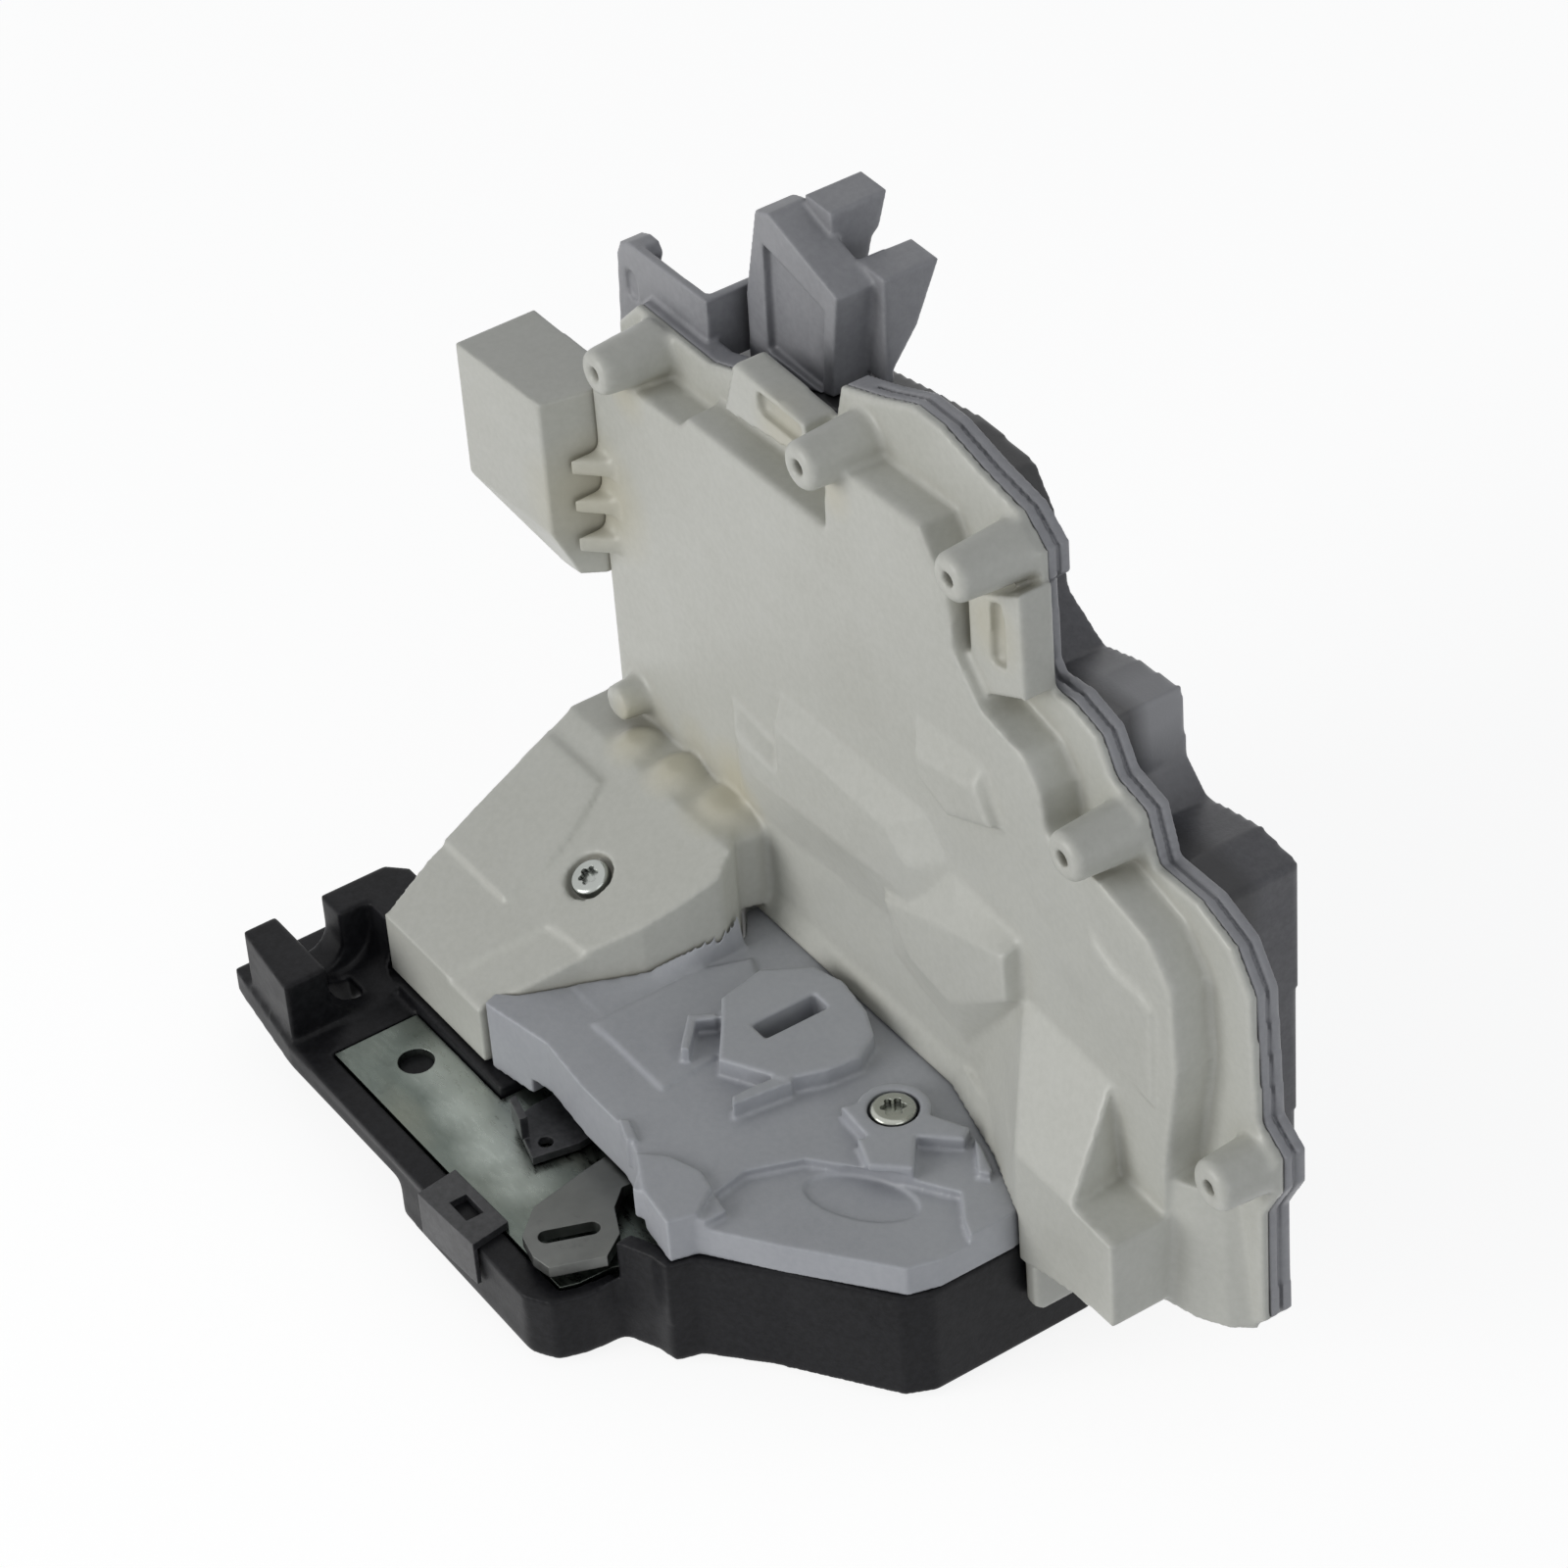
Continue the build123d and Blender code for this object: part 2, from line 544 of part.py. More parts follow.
with BuildPart() as coupling_lever:
    with BuildSketch(Plane.XY.offset(LOCK_Z)):
        with Locations((LOCK_X, LOCK_Y)):
            Circle(5)
        outline([(-36, -1), (-36, -18), (-35, -22), (-26, -24.5), (-24.5, -17), (-26.2, -1)])
        outline([(-36, -1), (-36.5, 14), (-33, 15), (-27, 0)])
        with Locations((LOCK_X, LOCK_Y)):
            Circle(LOCK_PIN_R + RUN_GAP, mode=Mode.SUBTRACT)
        with Locations((-27.8, -21)):
            Circle(1.2, mode=Mode.SUBTRACT)
    extrude(amount=LOCK_T)
    with BuildSketch(Plane.XY.offset(LOCK_Z + LOCK_T)):
        outline([(-35.4, -21.2), (-35.2, -22.4), (-30.4, -23.6), (-30.2, -22.4)])
    extrude(amount=4.2)
save(coupling_lever, "coupling_lever")

# Cover over the levers

with BuildPart() as cover_core:
    with BuildSketch(Plane.XY.offset(10)):
        outline(COVER_EDGE)
        offset(amount=-COVER_WALL, mode=Mode.REPLACE)
    extrude(amount=COVER_TOP - COVER_WALL - 10)
    # The hollow is lower under the shelf, so the shelf keeps a full wall
    with BuildSketch(Plane.XY.offset(COVER_TOP - SHELF_DROP - DISH_DEPTH - COVER_WALL)):
        outline(SHELF_EDGE)
        offset(amount=COVER_WALL)
    extrude(amount=10, mode=Mode.SUBTRACT)

with BuildPart() as latch_cover:
    with BuildSketch(Plane.XY.offset(COVER_FOOT)):
        outline(COVER_EDGE)
    extrude(amount=COVER_TOP - COVER_FOOT)
    add(cover_core.part, mode=Mode.SUBTRACT)
    # The right half stands on the case's high wall
    with BuildSketch(Plane.XY.offset(COVER_FOOT)):
        outline([(2, -40), (50, -40), (50, 60), (-60, 60), (-60, 20), (2, 20)])
    extrude(amount=WALL_TOP + 0.05 - COVER_FOOT, mode=Mode.SUBTRACT)
    # Way out for the release lever and the coupling lever
    with BuildSketch(Plane.XY.offset(COVER_FOOT)):
        outline([(-38, -30), (2, -30), (2, -12), (-38, -12)])
    extrude(amount=LEVER_Z + LEVER_T + 0.8 - COVER_FOOT, mode=Mode.SUBTRACT)
    # Raised band beside the shoulder
    for y, left, top in BAND_SECTIONS:
        with BuildSketch(front_plane(y)):
            outline([(left, COVER_TOP - 1), (-32.8, COVER_TOP - 1), (-32.8, COVER_TOP + 0.05), (left, top)])
    loft(ruled=True)
    # Slotted boss
    with BuildSketch(Plane.XY.offset(COVER_TOP)):
        outline([(-11.2, 0.6), (-1.6, 5.9), (0.6, 12), (1.2, 17.6), (-1.6, 22), (-6.8, 24.2), (-14.3, 25.2),
                 (-19.8, 23.6), (-24.3, 16.8), (-22.5, 8.6), (-17.4, 5.1)])
    extrude(amount=BOSS_STEP)
    # Low plateau in front of the boss, ending at the step line
    with BuildSketch(Plane.XY.offset(COVER_TOP)):
        outline([(-32.4, -8.1), (-13.9, -7.9), (-14.7, 2.3), (-18, 6), (-22, 9), (-24.3, 16.8), (-30, 19), (-32.6, 12)])
    extrude(amount=0.5)
    # Angled wall at the notch, and the rib from the boss corner
    with BuildSketch(Plane.XY.offset(COVER_TOP)):
        outline([(-22.6, 2.6), (-20.2, 6.2), (-19.2, 5.6), (-20.7, 2.8), (-16, -1.6), (-16.8, -2.6)])
        outline([(-3.4, -2.2), (-1.9, -3.2), (-0.6, 6.6), (-3, 7.6)])
    extrude(amount=BOSS_STEP - 0.2)
    with BuildSketch(Plane.XY.offset(COVER_TOP + BOSS_STEP - 6)):
        with Locations((-12.7, 14.4)):
            Rectangle(3.9, 11.4)
    extrude(amount=6, mode=Mode.SUBTRACT)
    # Screw tower
    with BuildSketch(Plane.XY.offset(COVER_TOP)):
        with Locations((COVER_SCREW_X, COVER_SCREW_Y)):
            Circle(5.6)
        outline([(7.6, 9.6), (15.3, 9), (18.5, 12), (15, 17), (10, 18)])
        outline([(14.6, 7.6), (20.4, 5.6), (25, 10.4), (19.6, 14.6)])
        outline([(17, 12), (24.5, 19.8), (23, 22), (15, 18)])
    extrude(amount=2.4)
    with BuildSketch(Plane.XY.offset(COVER_TOP)):
        outline([(23.8, 22), (27, 21.3), (31.4, 19.8), (31.8, 19), (30.4, 18)])
    extrude(amount=1.4)
    # Lower shelf at the front right, with its dished floor
    with BuildSketch(Plane.XY.offset(COVER_TOP - SHELF_DROP)):
        outline(SHELF_EDGE)
    extrude(amount=SHELF_DROP + 1, mode=Mode.SUBTRACT)
    with BuildSketch(Plane.XY.offset(COVER_TOP - SHELF_DROP - DISH_DEPTH)):
        with Locations(Location((21.8, 3.2), 33)):
            Ellipse(9, 4.6)
    extrude(amount=2, mode=Mode.SUBTRACT)
    with BuildSketch(Plane.XY.offset(FLOOR_TOP + BACK_PLATE_T)):
        with Locations((COVER_SCREW_X, COVER_SCREW_Y)):
            Circle(3.6)
    extrude(amount=COVER_TOP - FLOOR_TOP - BACK_PLATE_T)
    with BuildSketch(Plane.XY.offset(FLOOR_TOP + BACK_PLATE_T)):
        with Locations((COVER_SCREW_X, COVER_SCREW_Y)):
            Circle(COVER_SCREW_R + RUN_GAP)
    extrude(amount=20, mode=Mode.SUBTRACT)
    with BuildSketch(Plane.XY.offset(COVER_TOP + 0.6)):
        with Locations((COVER_SCREW_X, COVER_SCREW_Y)):
            Circle(3.9)
    extrude(amount=4, mode=Mode.SUBTRACT)
    with BuildSketch(Plane.XY.offset(WALL_TOP + 0.05)):
        outline([(-0.6, -15.4), (-4.2, -19), (3.4, -22.6), (11.2, -23.6), (12.4, -19), (9, -14.2), (5.1, -13.4)])
    extrude(amount=COVER_TOP + 1 - WALL_TOP)
    # Fin and gusset at the front edge
    with BuildSketch(Plane.XY.offset(COVER_TOP - 5)):
        outline([(-3.5, -18.1), (-1.8, -17.4), (3.4, -22.6), (1.8, -23.4)])
        outline([(-12.2, -16.8), (-11, -15.6), (-6.6, -17), (-7.6, -18.4)])
    extrude(amount=5.6)
save(latch_cover, "latch_cover")


def pan_screw(length, shank_r, head_r, head_t, recess_r):
    """Pan-head screw with a six-lobed recess, along its own +Z with the head on top."""
    Cylinder(shank_r, length, align=(Align.CENTER, Align.CENTER, Align.MAX))
    Cylinder(head_r, head_t, align=ON_FOOT)
    fillet(faces().sort_by(Axis.Z)[-1].edges(), head_t * 0.45)
    with Locations((0, 0, head_t * 0.4)):
        Cylinder(recess_r * 0.74, head_t, align=ON_FOOT, mode=Mode.SUBTRACT)
        with PolarLocations(recess_r * 0.72, 6):
            Cylinder(recess_r * 0.28, head_t, align=ON_FOOT, mode=Mode.SUBTRACT)


with BuildPart() as cover_screw_form:
    pan_screw(16, COVER_SCREW_R, 3.6, 2, 2)

with BuildPart() as cover_screw:
    add(cover_screw_form.part.moved(Location((COVER_SCREW_X, COVER_SCREW_Y, COVER_TOP + 0.6))))
save(cover_screw, "cover_screw")

with BuildPart() as side_screw_form:
    pan_screw(7, SIDE_SCREW_R, SIDE_SCREW_HEAD_R, 1.7, 1.7)

side_screw_place = Plane(origin=(SIDE_SCREW_X, SIDE_SCREW_Y, slope_z(SIDE_SCREW_Y) - 1.79),
                         x_dir=(1, 0, 0), z_dir=(0, -SLOPE_RISE, 1))

with BuildPart() as side_screw:
    add(side_screw_form.part.moved(side_screw_place.location))
save(side_screw, "side_screw")

# Actuator housing: the white front shell of the wing with the latch cover's raised half

with BuildPart() as shoulder_core:
    with BuildSketch(side_plane(-90)):
        outline([(-19 + SHELL_T, 10), (-19 + SHELL_T, slope_z(-19 + SHELL_T) - SHELL_T * 1.15),
                 (17, slope_z(17) - SHELL_T * 1.15), (20, 45 - SHELL_T), (34 - SHELL_T, 45 - SHELL_T), (34 - SHELL_T, 10)])
    extrude(amount=60)
    with BuildSketch(Plane.XY.offset(5)):
        outline(SHOULDER_EDGE)
        offset(amount=-COVER_WALL, mode=Mode.REPLACE)
    extrude(amount=50, mode=Mode.INTERSECT)

with BuildPart() as wing_core:
    with BuildSketch(front_plane(PART_Y)):
        outline(FACE_EDGE)
        offset(amount=-SHELL_T, mode=Mode.REPLACE)
    extrude(amount=PART_Y - WING_Y - SHELL_T)

with BuildPart() as actuator_housing:
    with BuildSketch(side_plane(-90)):
        outline([(-19, SHELF_TOP + 0.1), (-19, slope_z(-19)), (17, slope_z(17)), (20, 45), (34, 45),
                 (34, SHELF_TOP + 0.1)])
    extrude(amount=60)
    with BuildSketch(Plane.XY.offset(5)):
        outline(SHOULDER_EDGE)
    extrude(amount=50, mode=Mode.INTERSECT)
    # Raised pad, lower strip and screw seat on the slope
    with BuildSketch(slope_plane(-1)):
        on_slope([(-78.2, -5.6), (-60.3, -5.6), (-59.4, 2.7), (-60.7, 8.3), (-63.8, 15.5), (-79.5, 15.5)])
    extrude(amount=1 + PAD_T)
    with BuildSketch(slope_plane(-PAD_T)):
        on_slope([(-57.2, -21), (-57.2, -18), (-50.7, -4), (-41, -3), (-44, -12), (-47, -21)])
    extrude(amount=4, mode=Mode.SUBTRACT)
    for x, y, radius, top in HUMPS:
        with Locations((x, y, 30)):
            Cylinder(radius, top - 30, align=ON_FOOT)
        with Locations((x, y, top)):
            Cone(radius, radius * HUMP_SHARE, HUMP_TOP, align=ON_FOOT)
    with BuildSketch(front_plane(RIM_Y)):
        outline(FACE_EDGE)
    extrude(amount=RIM_Y - WING_Y)
    # Lip along the wing's foot
    for z, draw in ((WING_FOOT_Z, 0), (WING_FOOT_Z + 4.5, LIP - 0.1)):
        with BuildSketch(Plane.XY.offset(z)):
            outline([(-47.5, WING_Y + 2), (-47.5, WING_Y - LIP + draw), (12, WING_Y - LIP + draw),
                     (28, WING_Y - LIP - 4 + draw), (39.2, WING_Y - LIP - 8.2 + draw), (39.2, WING_Y + 2)])
    loft(ruled=True)
    with BuildSketch(front_plane(PART_Y)):
        outline(RIM_EDGE)
    extrude(amount=PART_Y - RIM_Y)
    # Leg beside the latch
    with BuildSketch(front_plane(RIM_Y)):
        outline([(39.6, 18.6), (53.3, 21.7), (62.9, 22.5), (62.9, 38.2), (53.3, 38.9), (53.3, 28), (39.6, 28)])
    extrude(amount=RIM_Y - 18)
    for back, back_depth, crest, crest_depth in WING_RELIEFS:
        with BuildSketch(front_plane(WING_Y + 0.05 - back_depth)):
            outline(back)
        with BuildSketch(front_plane(WING_Y - crest_depth)):
            outline(crest)
        loft(ruled=True)
    with BuildSketch(side_plane(40)):
        outline([(18.6, 10.5), (20, 9.4), (27, 9.4), (28, 10.5), (28, 24), (18.6, 24)])
    extrude(amount=2.8)
    # Rounded lobe beside the leg
    with BuildSketch(Plane.XY.offset(20.7)):
        outline([(60, 28.3), (62.5, 28.3), (67, 29.4), (71.5, 31.8), (74.2, RIM_Y + 0.4), (60, RIM_Y + 0.4)])
    with BuildSketch(Plane.XY.offset(44.5)):
        outline([(60, 29), (62, 29), (65.5, 30.6), (69, 33), (71, RIM_Y + 0.4), (60, RIM_Y + 0.4)])
    loft(ruled=True)
    for x, z, tip in WING_BOSSES:
        with BuildSketch(Plane(origin=(x, RIM_Y, z), x_dir=(1, 0, 0), z_dir=(0, -1, 0))):
            Circle(BOSS_R)
        extrude(amount=RIM_Y - tip - BOSS_NOSE, taper=BOSS_DRAFT)
        tip_r = BOSS_R - (RIM_Y - tip - BOSS_NOSE) * math.tan(math.radians(BOSS_DRAFT))
        with BuildSketch(Plane(origin=(x, tip + BOSS_NOSE, z), x_dir=(1, 0, 0), z_dir=(0, -1, 0))):
            Circle(tip_r)
        extrude(amount=BOSS_NOSE, taper=45)
    with BuildSketch(front_plane(WING_Y + 1)):
        with Locations((-71.5, 49.5)):
            Circle(3.4)
    extrude(amount=6, taper=BOSS_DRAFT)
    # Latch-nose boxes on the upper edge
    with BuildSketch(front_plane(RIM_Y + 1)):
        outline([(-43, 118), (-20.5, 121), (-21.6, 127.2), (-39.7, 128)])
        outline([(17.4, 103.5), (30, 109.5), (29.8, 127.4), (17.3, 120.5)])
    extrude(amount=5.6)
    # Windows of the two boxes, and ribs between the wing and the connector
    with BuildSketch(front_plane(31.5)):
        outline([(-34, 126.2), (-33.5, 122.6), (-22.4, 122.6), (-22.6, 126.2)])
        outline([(22.6, 122), (22.4, 111.6), (26, 112.6), (25.4, 123.2)])
    extrude(amount=3, mode=Mode.SUBTRACT)
    for z in (75, 82.2, 89.4):
        with BuildSketch(Plane.XY.offset(z)):
            outline([(-78, 22.9), (-72.6, WING_Y + 0.2), (-78, WING_Y + 0.2)])
        extrude(amount=WEB_T)
    add(shoulder_core.part, mode=Mode.SUBTRACT)
    add(wing_core.part, mode=Mode.SUBTRACT)
    # Seat and hole for the shoulder's screw
    with BuildSketch(slope_plane(-1.8)):
        with Locations((SIDE_SCREW_X, SIDE_SCREW_Y * math.hypot(1, SLOPE_RISE))):
            Circle(SIDE_SCREW_HEAD_R + 0.9)
    extrude(amount=6, mode=Mode.SUBTRACT)
    with BuildSketch(slope_plane(-1.8)):
        with Locations((SIDE_SCREW_X, SIDE_SCREW_Y * math.hypot(1, SLOPE_RISE))):
            Circle(SIDE_SCREW_R + RUN_GAP)
    extrude(amount=-8, mode=Mode.SUBTRACT)
    for x, z, tip in WING_BOSSES:
        with BuildSketch(Plane(origin=(x, PART_Y, z), x_dir=(1, 0, 0), z_dir=(0, -1, 0))):
            Circle(BOSS_BORE_R)
        extrude(amount=PART_Y - tip, mode=Mode.SUBTRACT)
save(actuator_housing, "actuator_housing")

with BuildPart() as connector_housing:
    with BuildSketch(Plane.XY.offset(PLUG_Z0)):
        outline([(PLUG_X0, PLUG_Y0), (PLUG_X1, PLUG_Y0 + 1.1), (-78.1, WING_Y), (-78.1, RIM_Y - 0.1),
                 (-88.8, PLUG_Y0 + PLUG_DEPTH + 0.4), (PLUG_X0, PLUG_Y0 + PLUG_DEPTH)])
    extrude(amount=PLUG_Z1 - PLUG_Z0)
    # Neck that slopes down to the wing
    with BuildSketch(Plane.XY.offset(PLUG_Z0)):
        outline([(PLUG_X0, PLUG_Y0), (PLUG_X1, PLUG_Y0 + 1.1), (-78.1, WING_Y), (-78.1, RIM_Y - 0.1),
                 (-88.8, PLUG_Y0 + PLUG_DEPTH + 0.4), (PLUG_X0, PLUG_Y0 + PLUG_DEPTH)])
    with BuildSketch(Plane.XY.offset(PLUG_NECK_Z)):
        outline([(-84.9, 24), (-80.5, 24.4), (-78.1, WING_Y), (-78.1, RIM_Y - 0.1), (-82, 34), (-85, 32)])
    loft(ruled=True)
    with BuildSketch(side_plane(PLUG_X0)):
        with Locations((PLUG_Y0 + PLUG_DEPTH / 2 + 0.3, (PLUG_Z0 + PLUG_Z1) / 2)):
            Rectangle(PLUG_DEPTH - 2 * PLUG_WALL, PLUG_Z1 - PLUG_Z0 - 2 * PLUG_WALL)
    extrude(amount=15, mode=Mode.SUBTRACT)
save(connector_housing, "connector_housing")

with BuildPart() as connector_pins:
    with BuildSketch(side_plane(PLUG_X0 + 8)):
        with GridLocations(4.6, 2.9, 2, 6):
            with Locations((PLUG_Y0 + PLUG_DEPTH / 2 + 0.3, (PLUG_Z0 + PLUG_Z1) / 2)):
                Rectangle(0.6, 1.2)
    extrude(amount=7)
save(connector_pins, "connector_pins")

# Grey middle frame with the mounting ear

# Seam that splits the rim in two beads on its right side
with BuildPart() as rim_seam:
    with BuildSketch(front_plane(PART_Y + FRAME_T / 2 + SEAM_T / 2)):
        with Locations((RIM_SEAM_X, PLUG_Z1)):
            Rectangle(110, 260, align=(Align.MIN, Align.CENTER))
    extrude(amount=SEAM_T)
    with BuildSketch(front_plane(PART_Y + FRAME_T)):
        outline(RIM_EDGE)
        offset(amount=-SEAM_DEPTH, mode=Mode.REPLACE)
    extrude(amount=FRAME_T, mode=Mode.SUBTRACT)

with BuildPart() as mid_frame:
    with BuildSketch(front_plane(PART_Y + FRAME_T)):
        outline(RIM_EDGE)
    extrude(amount=FRAME_T)
    with BuildSketch(front_plane(EAR_Y + EAR_T)):
        outline([(-85, 105), (-79, 105), (-59.4, 114), (-59.1, 124.8), (-80.3, 124.2), (-82.6, 123.2), (-83.8, 120.7)])
    extrude(amount=EAR_T)
    with BuildSketch(front_plane(EAR_Y + 9.8)):
        outline([(-60.8, 113), (-59.4, 113), (-59.1, 124.8), (-60.8, 124.7)])
    extrude(amount=9.8)
    # Knob behind the ear's upper corner
    with BuildSketch(front_plane(EAR_Y + EAR_T + 2.8)):
        outline([(-83.8, 120.7), (-82.6, 123.2), (-80.3, 124.1), (-78, 124), (-77, 122.4), (-78.4, 118.6), (-83, 118)])
    extrude(amount=3)
    with BuildSketch(front_plane(PART_Y + FRAME_T)):
        outline(FACE_EDGE)
        offset(amount=-SHELL_T - 0.8, mode=Mode.REPLACE)
        for x, z, tip in WING_BOSSES:
            with Locations((x, z)):
                Circle(BOSS_BORE_R)
    extrude(amount=FRAME_T, mode=Mode.SUBTRACT)
    # Web that closes the frame outside the rear cover
    with BuildSketch(front_plane(PART_Y + FRAME_T)):
        outline(FACE_EDGE)
        offset(amount=-SHELL_T, mode=Mode.REPLACE)
        Polygon(*REAR_EDGE, align=None, mode=Mode.SUBTRACT)
        for x, z, tip in WING_BOSSES:
            with Locations((x, z)):
                Circle(BOSS_BORE_R, mode=Mode.SUBTRACT)
    extrude(amount=WEB_PLATE_T)
    # Blind slot in the ear
    with BuildSketch(front_plane(EAR_Y + EAR_MARK)):
        with Locations(Location((-80.3, 116.5), 90)):
            SlotOverall(5.4, 3.2)
    extrude(amount=EAR_MARK + 1, mode=Mode.SUBTRACT)
    add(rim_seam.part, mode=Mode.SUBTRACT)
save(mid_frame, "mid_frame")

with BuildPart() as rear_cover:
    with BuildSketch(front_plane(PART_Y + FRAME_T + REAR_DEPTH)):
        outline(REAR_EDGE)
    extrude(amount=REAR_DEPTH - COLLAR_H)
    with BuildSketch(front_plane(PART_Y + FRAME_T + REAR_WALL + COLLAR_H)):
        outline(REAR_EDGE)
        offset(amount=-COLLAR_STEP, mode=Mode.REPLACE)
    extrude(amount=REAR_WALL + COLLAR_H)
    with BuildSketch(front_plane(PART_Y + FRAME_T + REAR_DEPTH - REAR_WALL)):
        outline(REAR_EDGE)
        offset(amount=-REAR_WALL, mode=Mode.REPLACE)
    extrude(amount=REAR_DEPTH - COLLAR_H - 2 * REAR_WALL, mode=Mode.SUBTRACT)
    with BuildSketch(front_plane(PART_Y + FRAME_T + REAR_DEPTH - REAR_WALL)):
        outline(REAR_EDGE)
        offset(amount=-COLLAR_STEP - COLLAR_WALL, mode=Mode.REPLACE)
    extrude(amount=REAR_DEPTH - REAR_WALL, mode=Mode.SUBTRACT)
save(rear_cover, "rear_cover")

with BuildPart() as top_bracket:
    with BuildSketch(front_plane(51)):
        outline([(-58, 110.4), (-57.4, 125), (-53.4, 141.2), (-50, 142.2), (-33, 136.4), (-35, 124), (-35.6, 117.9),
                 (-38, 117.2), (-51.5, 112.2)])
    extrude(amount=7)
    with BuildSketch(front_plane(45.5)):
        outline([(-52.6, 117), (-52, 136), (-36.6, 132.4), (-38.6, 117)])
    extrude(amount=1.6, mode=Mode.SUBTRACT)
    # Two guide blocks behind the plate, drawn in at their feet
    with BuildSketch(side_plane(-49)):
        outline([(50, 116), (50, 143.5), (60, 143.5), (58.3, 137.9), (57, 136.8), (56, 132.8), (55, 116)])
    extrude(amount=6.6)
    with BuildSketch(side_plane(-37.5)):
        outline([(50, 120), (50.6, 138), (60.4, 137.8), (57.8, 132), (56, 128), (51.5, 122), (51.5, 120)])
    extrude(amount=7)
save(top_bracket, "top_bracket")

# Lock motor, worm and gear

with BuildPart() as motor:
    with BuildSketch(Plane.XY.offset(WORM_Z1 + 5)):
        with Locations((WORM_X, WORM_Y)):
            Rectangle(MOTOR_W, MOTOR_D)
    extrude(amount=MOTOR_H)
    fillet(edges().filter_by(Axis.Z), 5)
    with BuildSketch(Plane.XY.offset(WORM_Z1 + 5 + MOTOR_H)):
        with Locations((WORM_X, WORM_Y)):
            Circle(3.5)
    extrude(amount=2)
    with BuildSketch(Plane.XY.offset(WORM_Z1 + 2)):
        with Locations((WORM_X, WORM_Y)):
            Circle(3.5)
    extrude(amount=3)
save(motor, "motor")

with BuildPart() as worm:
    with BuildSketch(Plane.XY.offset(WORM_Z0 - 1)):
        with Locations((WORM_X, WORM_Y)):
            Circle(WORM_ROOT_R)
    extrude(amount=WORM_Z1 - WORM_Z0 + 2)
    thread_path = Helix(pitch=WORM_PITCH, height=WORM_Z1 - WORM_Z0 - 1.2, radius=WORM_ROOT_R,
                        center=(WORM_X, WORM_Y, WORM_Z0 + 0.5))
    with BuildSketch(Plane(origin=thread_path @ 0, x_dir=(1, 0, 0), z_dir=thread_path % 0)):
        with Locations(((WORM_R - WORM_ROOT_R) / 2 - 0.1, 0)):
            Rectangle(WORM_R - WORM_ROOT_R + 0.2, 0.8)
    sweep(path=thread_path, is_frenet=True)
save(worm, "worm")


def toothed_wheel(root_r, tip_r, teeth, width, phase):
    """Plain wheel with straight teeth, in the sketch plane of the caller."""
    Circle(root_r)
    for i in range(teeth):
        with Locations(Location((0, 0), phase + i * 360 / teeth)):
            with Locations(((root_r + tip_r) / 2 - 0.2, 0)):
                Rectangle(tip_r - root_r + 0.4, width)


with BuildPart() as worm_gear:
    with BuildSketch(Plane(origin=(GEAR_X, GEAR_Y1, GEAR_Z), x_dir=(1, 0, 0), z_dir=(0, -1, 0))):
        toothed_wheel(GEAR_R - 1, GEAR_R + 0.5, GEAR_TEETH, 0.8, GEAR_PHASE)
    extrude(amount=GEAR_T)
    with BuildSketch(Plane(origin=(GEAR_X, GEAR_Y1 + PINION_T, GEAR_Z), x_dir=(1, 0, 0), z_dir=(0, -1, 0))):
        toothed_wheel(PINION_R - 1.1, PINION_R + 0.8, PINION_TEETH, 1.2, 0)
    extrude(amount=PINION_T)
    with BuildSketch(Plane(origin=(GEAR_X, GEAR_Y1 + PINION_T, GEAR_Z), x_dir=(1, 0, 0), z_dir=(0, -1, 0))):
        Circle(GEAR_PIN_R + RUN_GAP)
    extrude(amount=PINION_T + GEAR_T, mode=Mode.SUBTRACT)
save(worm_gear, "worm_gear")

with BuildPart() as gear_pin:
    with BuildSketch(Plane(origin=(GEAR_X, REAR_WALL_Y - 2.05, GEAR_Z), x_dir=(1, 0, 0), z_dir=(0, -1, 0))):
        Circle(GEAR_PIN_R)
    extrude(amount=REAR_WALL_Y - 2.1 - WING_Y - SHELL_T)
save(gear_pin, "gear_pin")

with BuildPart() as lock_slider:
    rack_x = GEAR_X + PINION_R
    with BuildSketch(front_plane(GEAR_Y1 + PINION_T)):
        outline([(rack_x + 1.2, SLIDER_Z0), (rack_x + 7, SLIDER_Z0), (rack_x + 7, SLIDER_Z1), (rack_x + 1.2, SLIDER_Z1)])
        for i in range(-4, 4):
            with Locations((rack_x + 0.5, GEAR_Z + RACK_PHASE + i * math.pi * PINION_MODULE)):
                Rectangle(1.8, 1.2)
    extrude(amount=PINION_T - 0.4)
save(lock_slider, "lock_slider")

with BuildPart() as inner_lever:
    with BuildSketch(front_plane(REAR_WALL_Y + 5)):
        with Locations((INNER_X, INNER_Z)):
            Circle(7)
        outline([(INNER_X - 6, INNER_Z), (INNER_X - 8, INNER_Z - 34), (INNER_X + 2, INNER_Z - 36), (INNER_X + 6, INNER_Z)])
        with Locations((INNER_X, INNER_Z)):
            Circle(INNER_PIN_R + RUN_GAP, mode=Mode.SUBTRACT)
        with Locations((INNER_X - 3, INNER_Z - 30)):
            Circle(2, mode=Mode.SUBTRACT)
    extrude(amount=2.5)
save(inner_lever, "inner_lever")

with BuildPart() as inner_lever_pin:
    with BuildSketch(front_plane(REAR_WALL_Y + 5.6)):
        with Locations((INNER_X, INNER_Z)):
            Circle(INNER_PIN_R)
    extrude(amount=5.6)
    with BuildSketch(front_plane(REAR_WALL_Y + 6.8)):
        with Locations((INNER_X, INNER_Z)):
            Circle(5)
    extrude(amount=1.2)
save(inner_lever_pin, "inner_lever_pin")

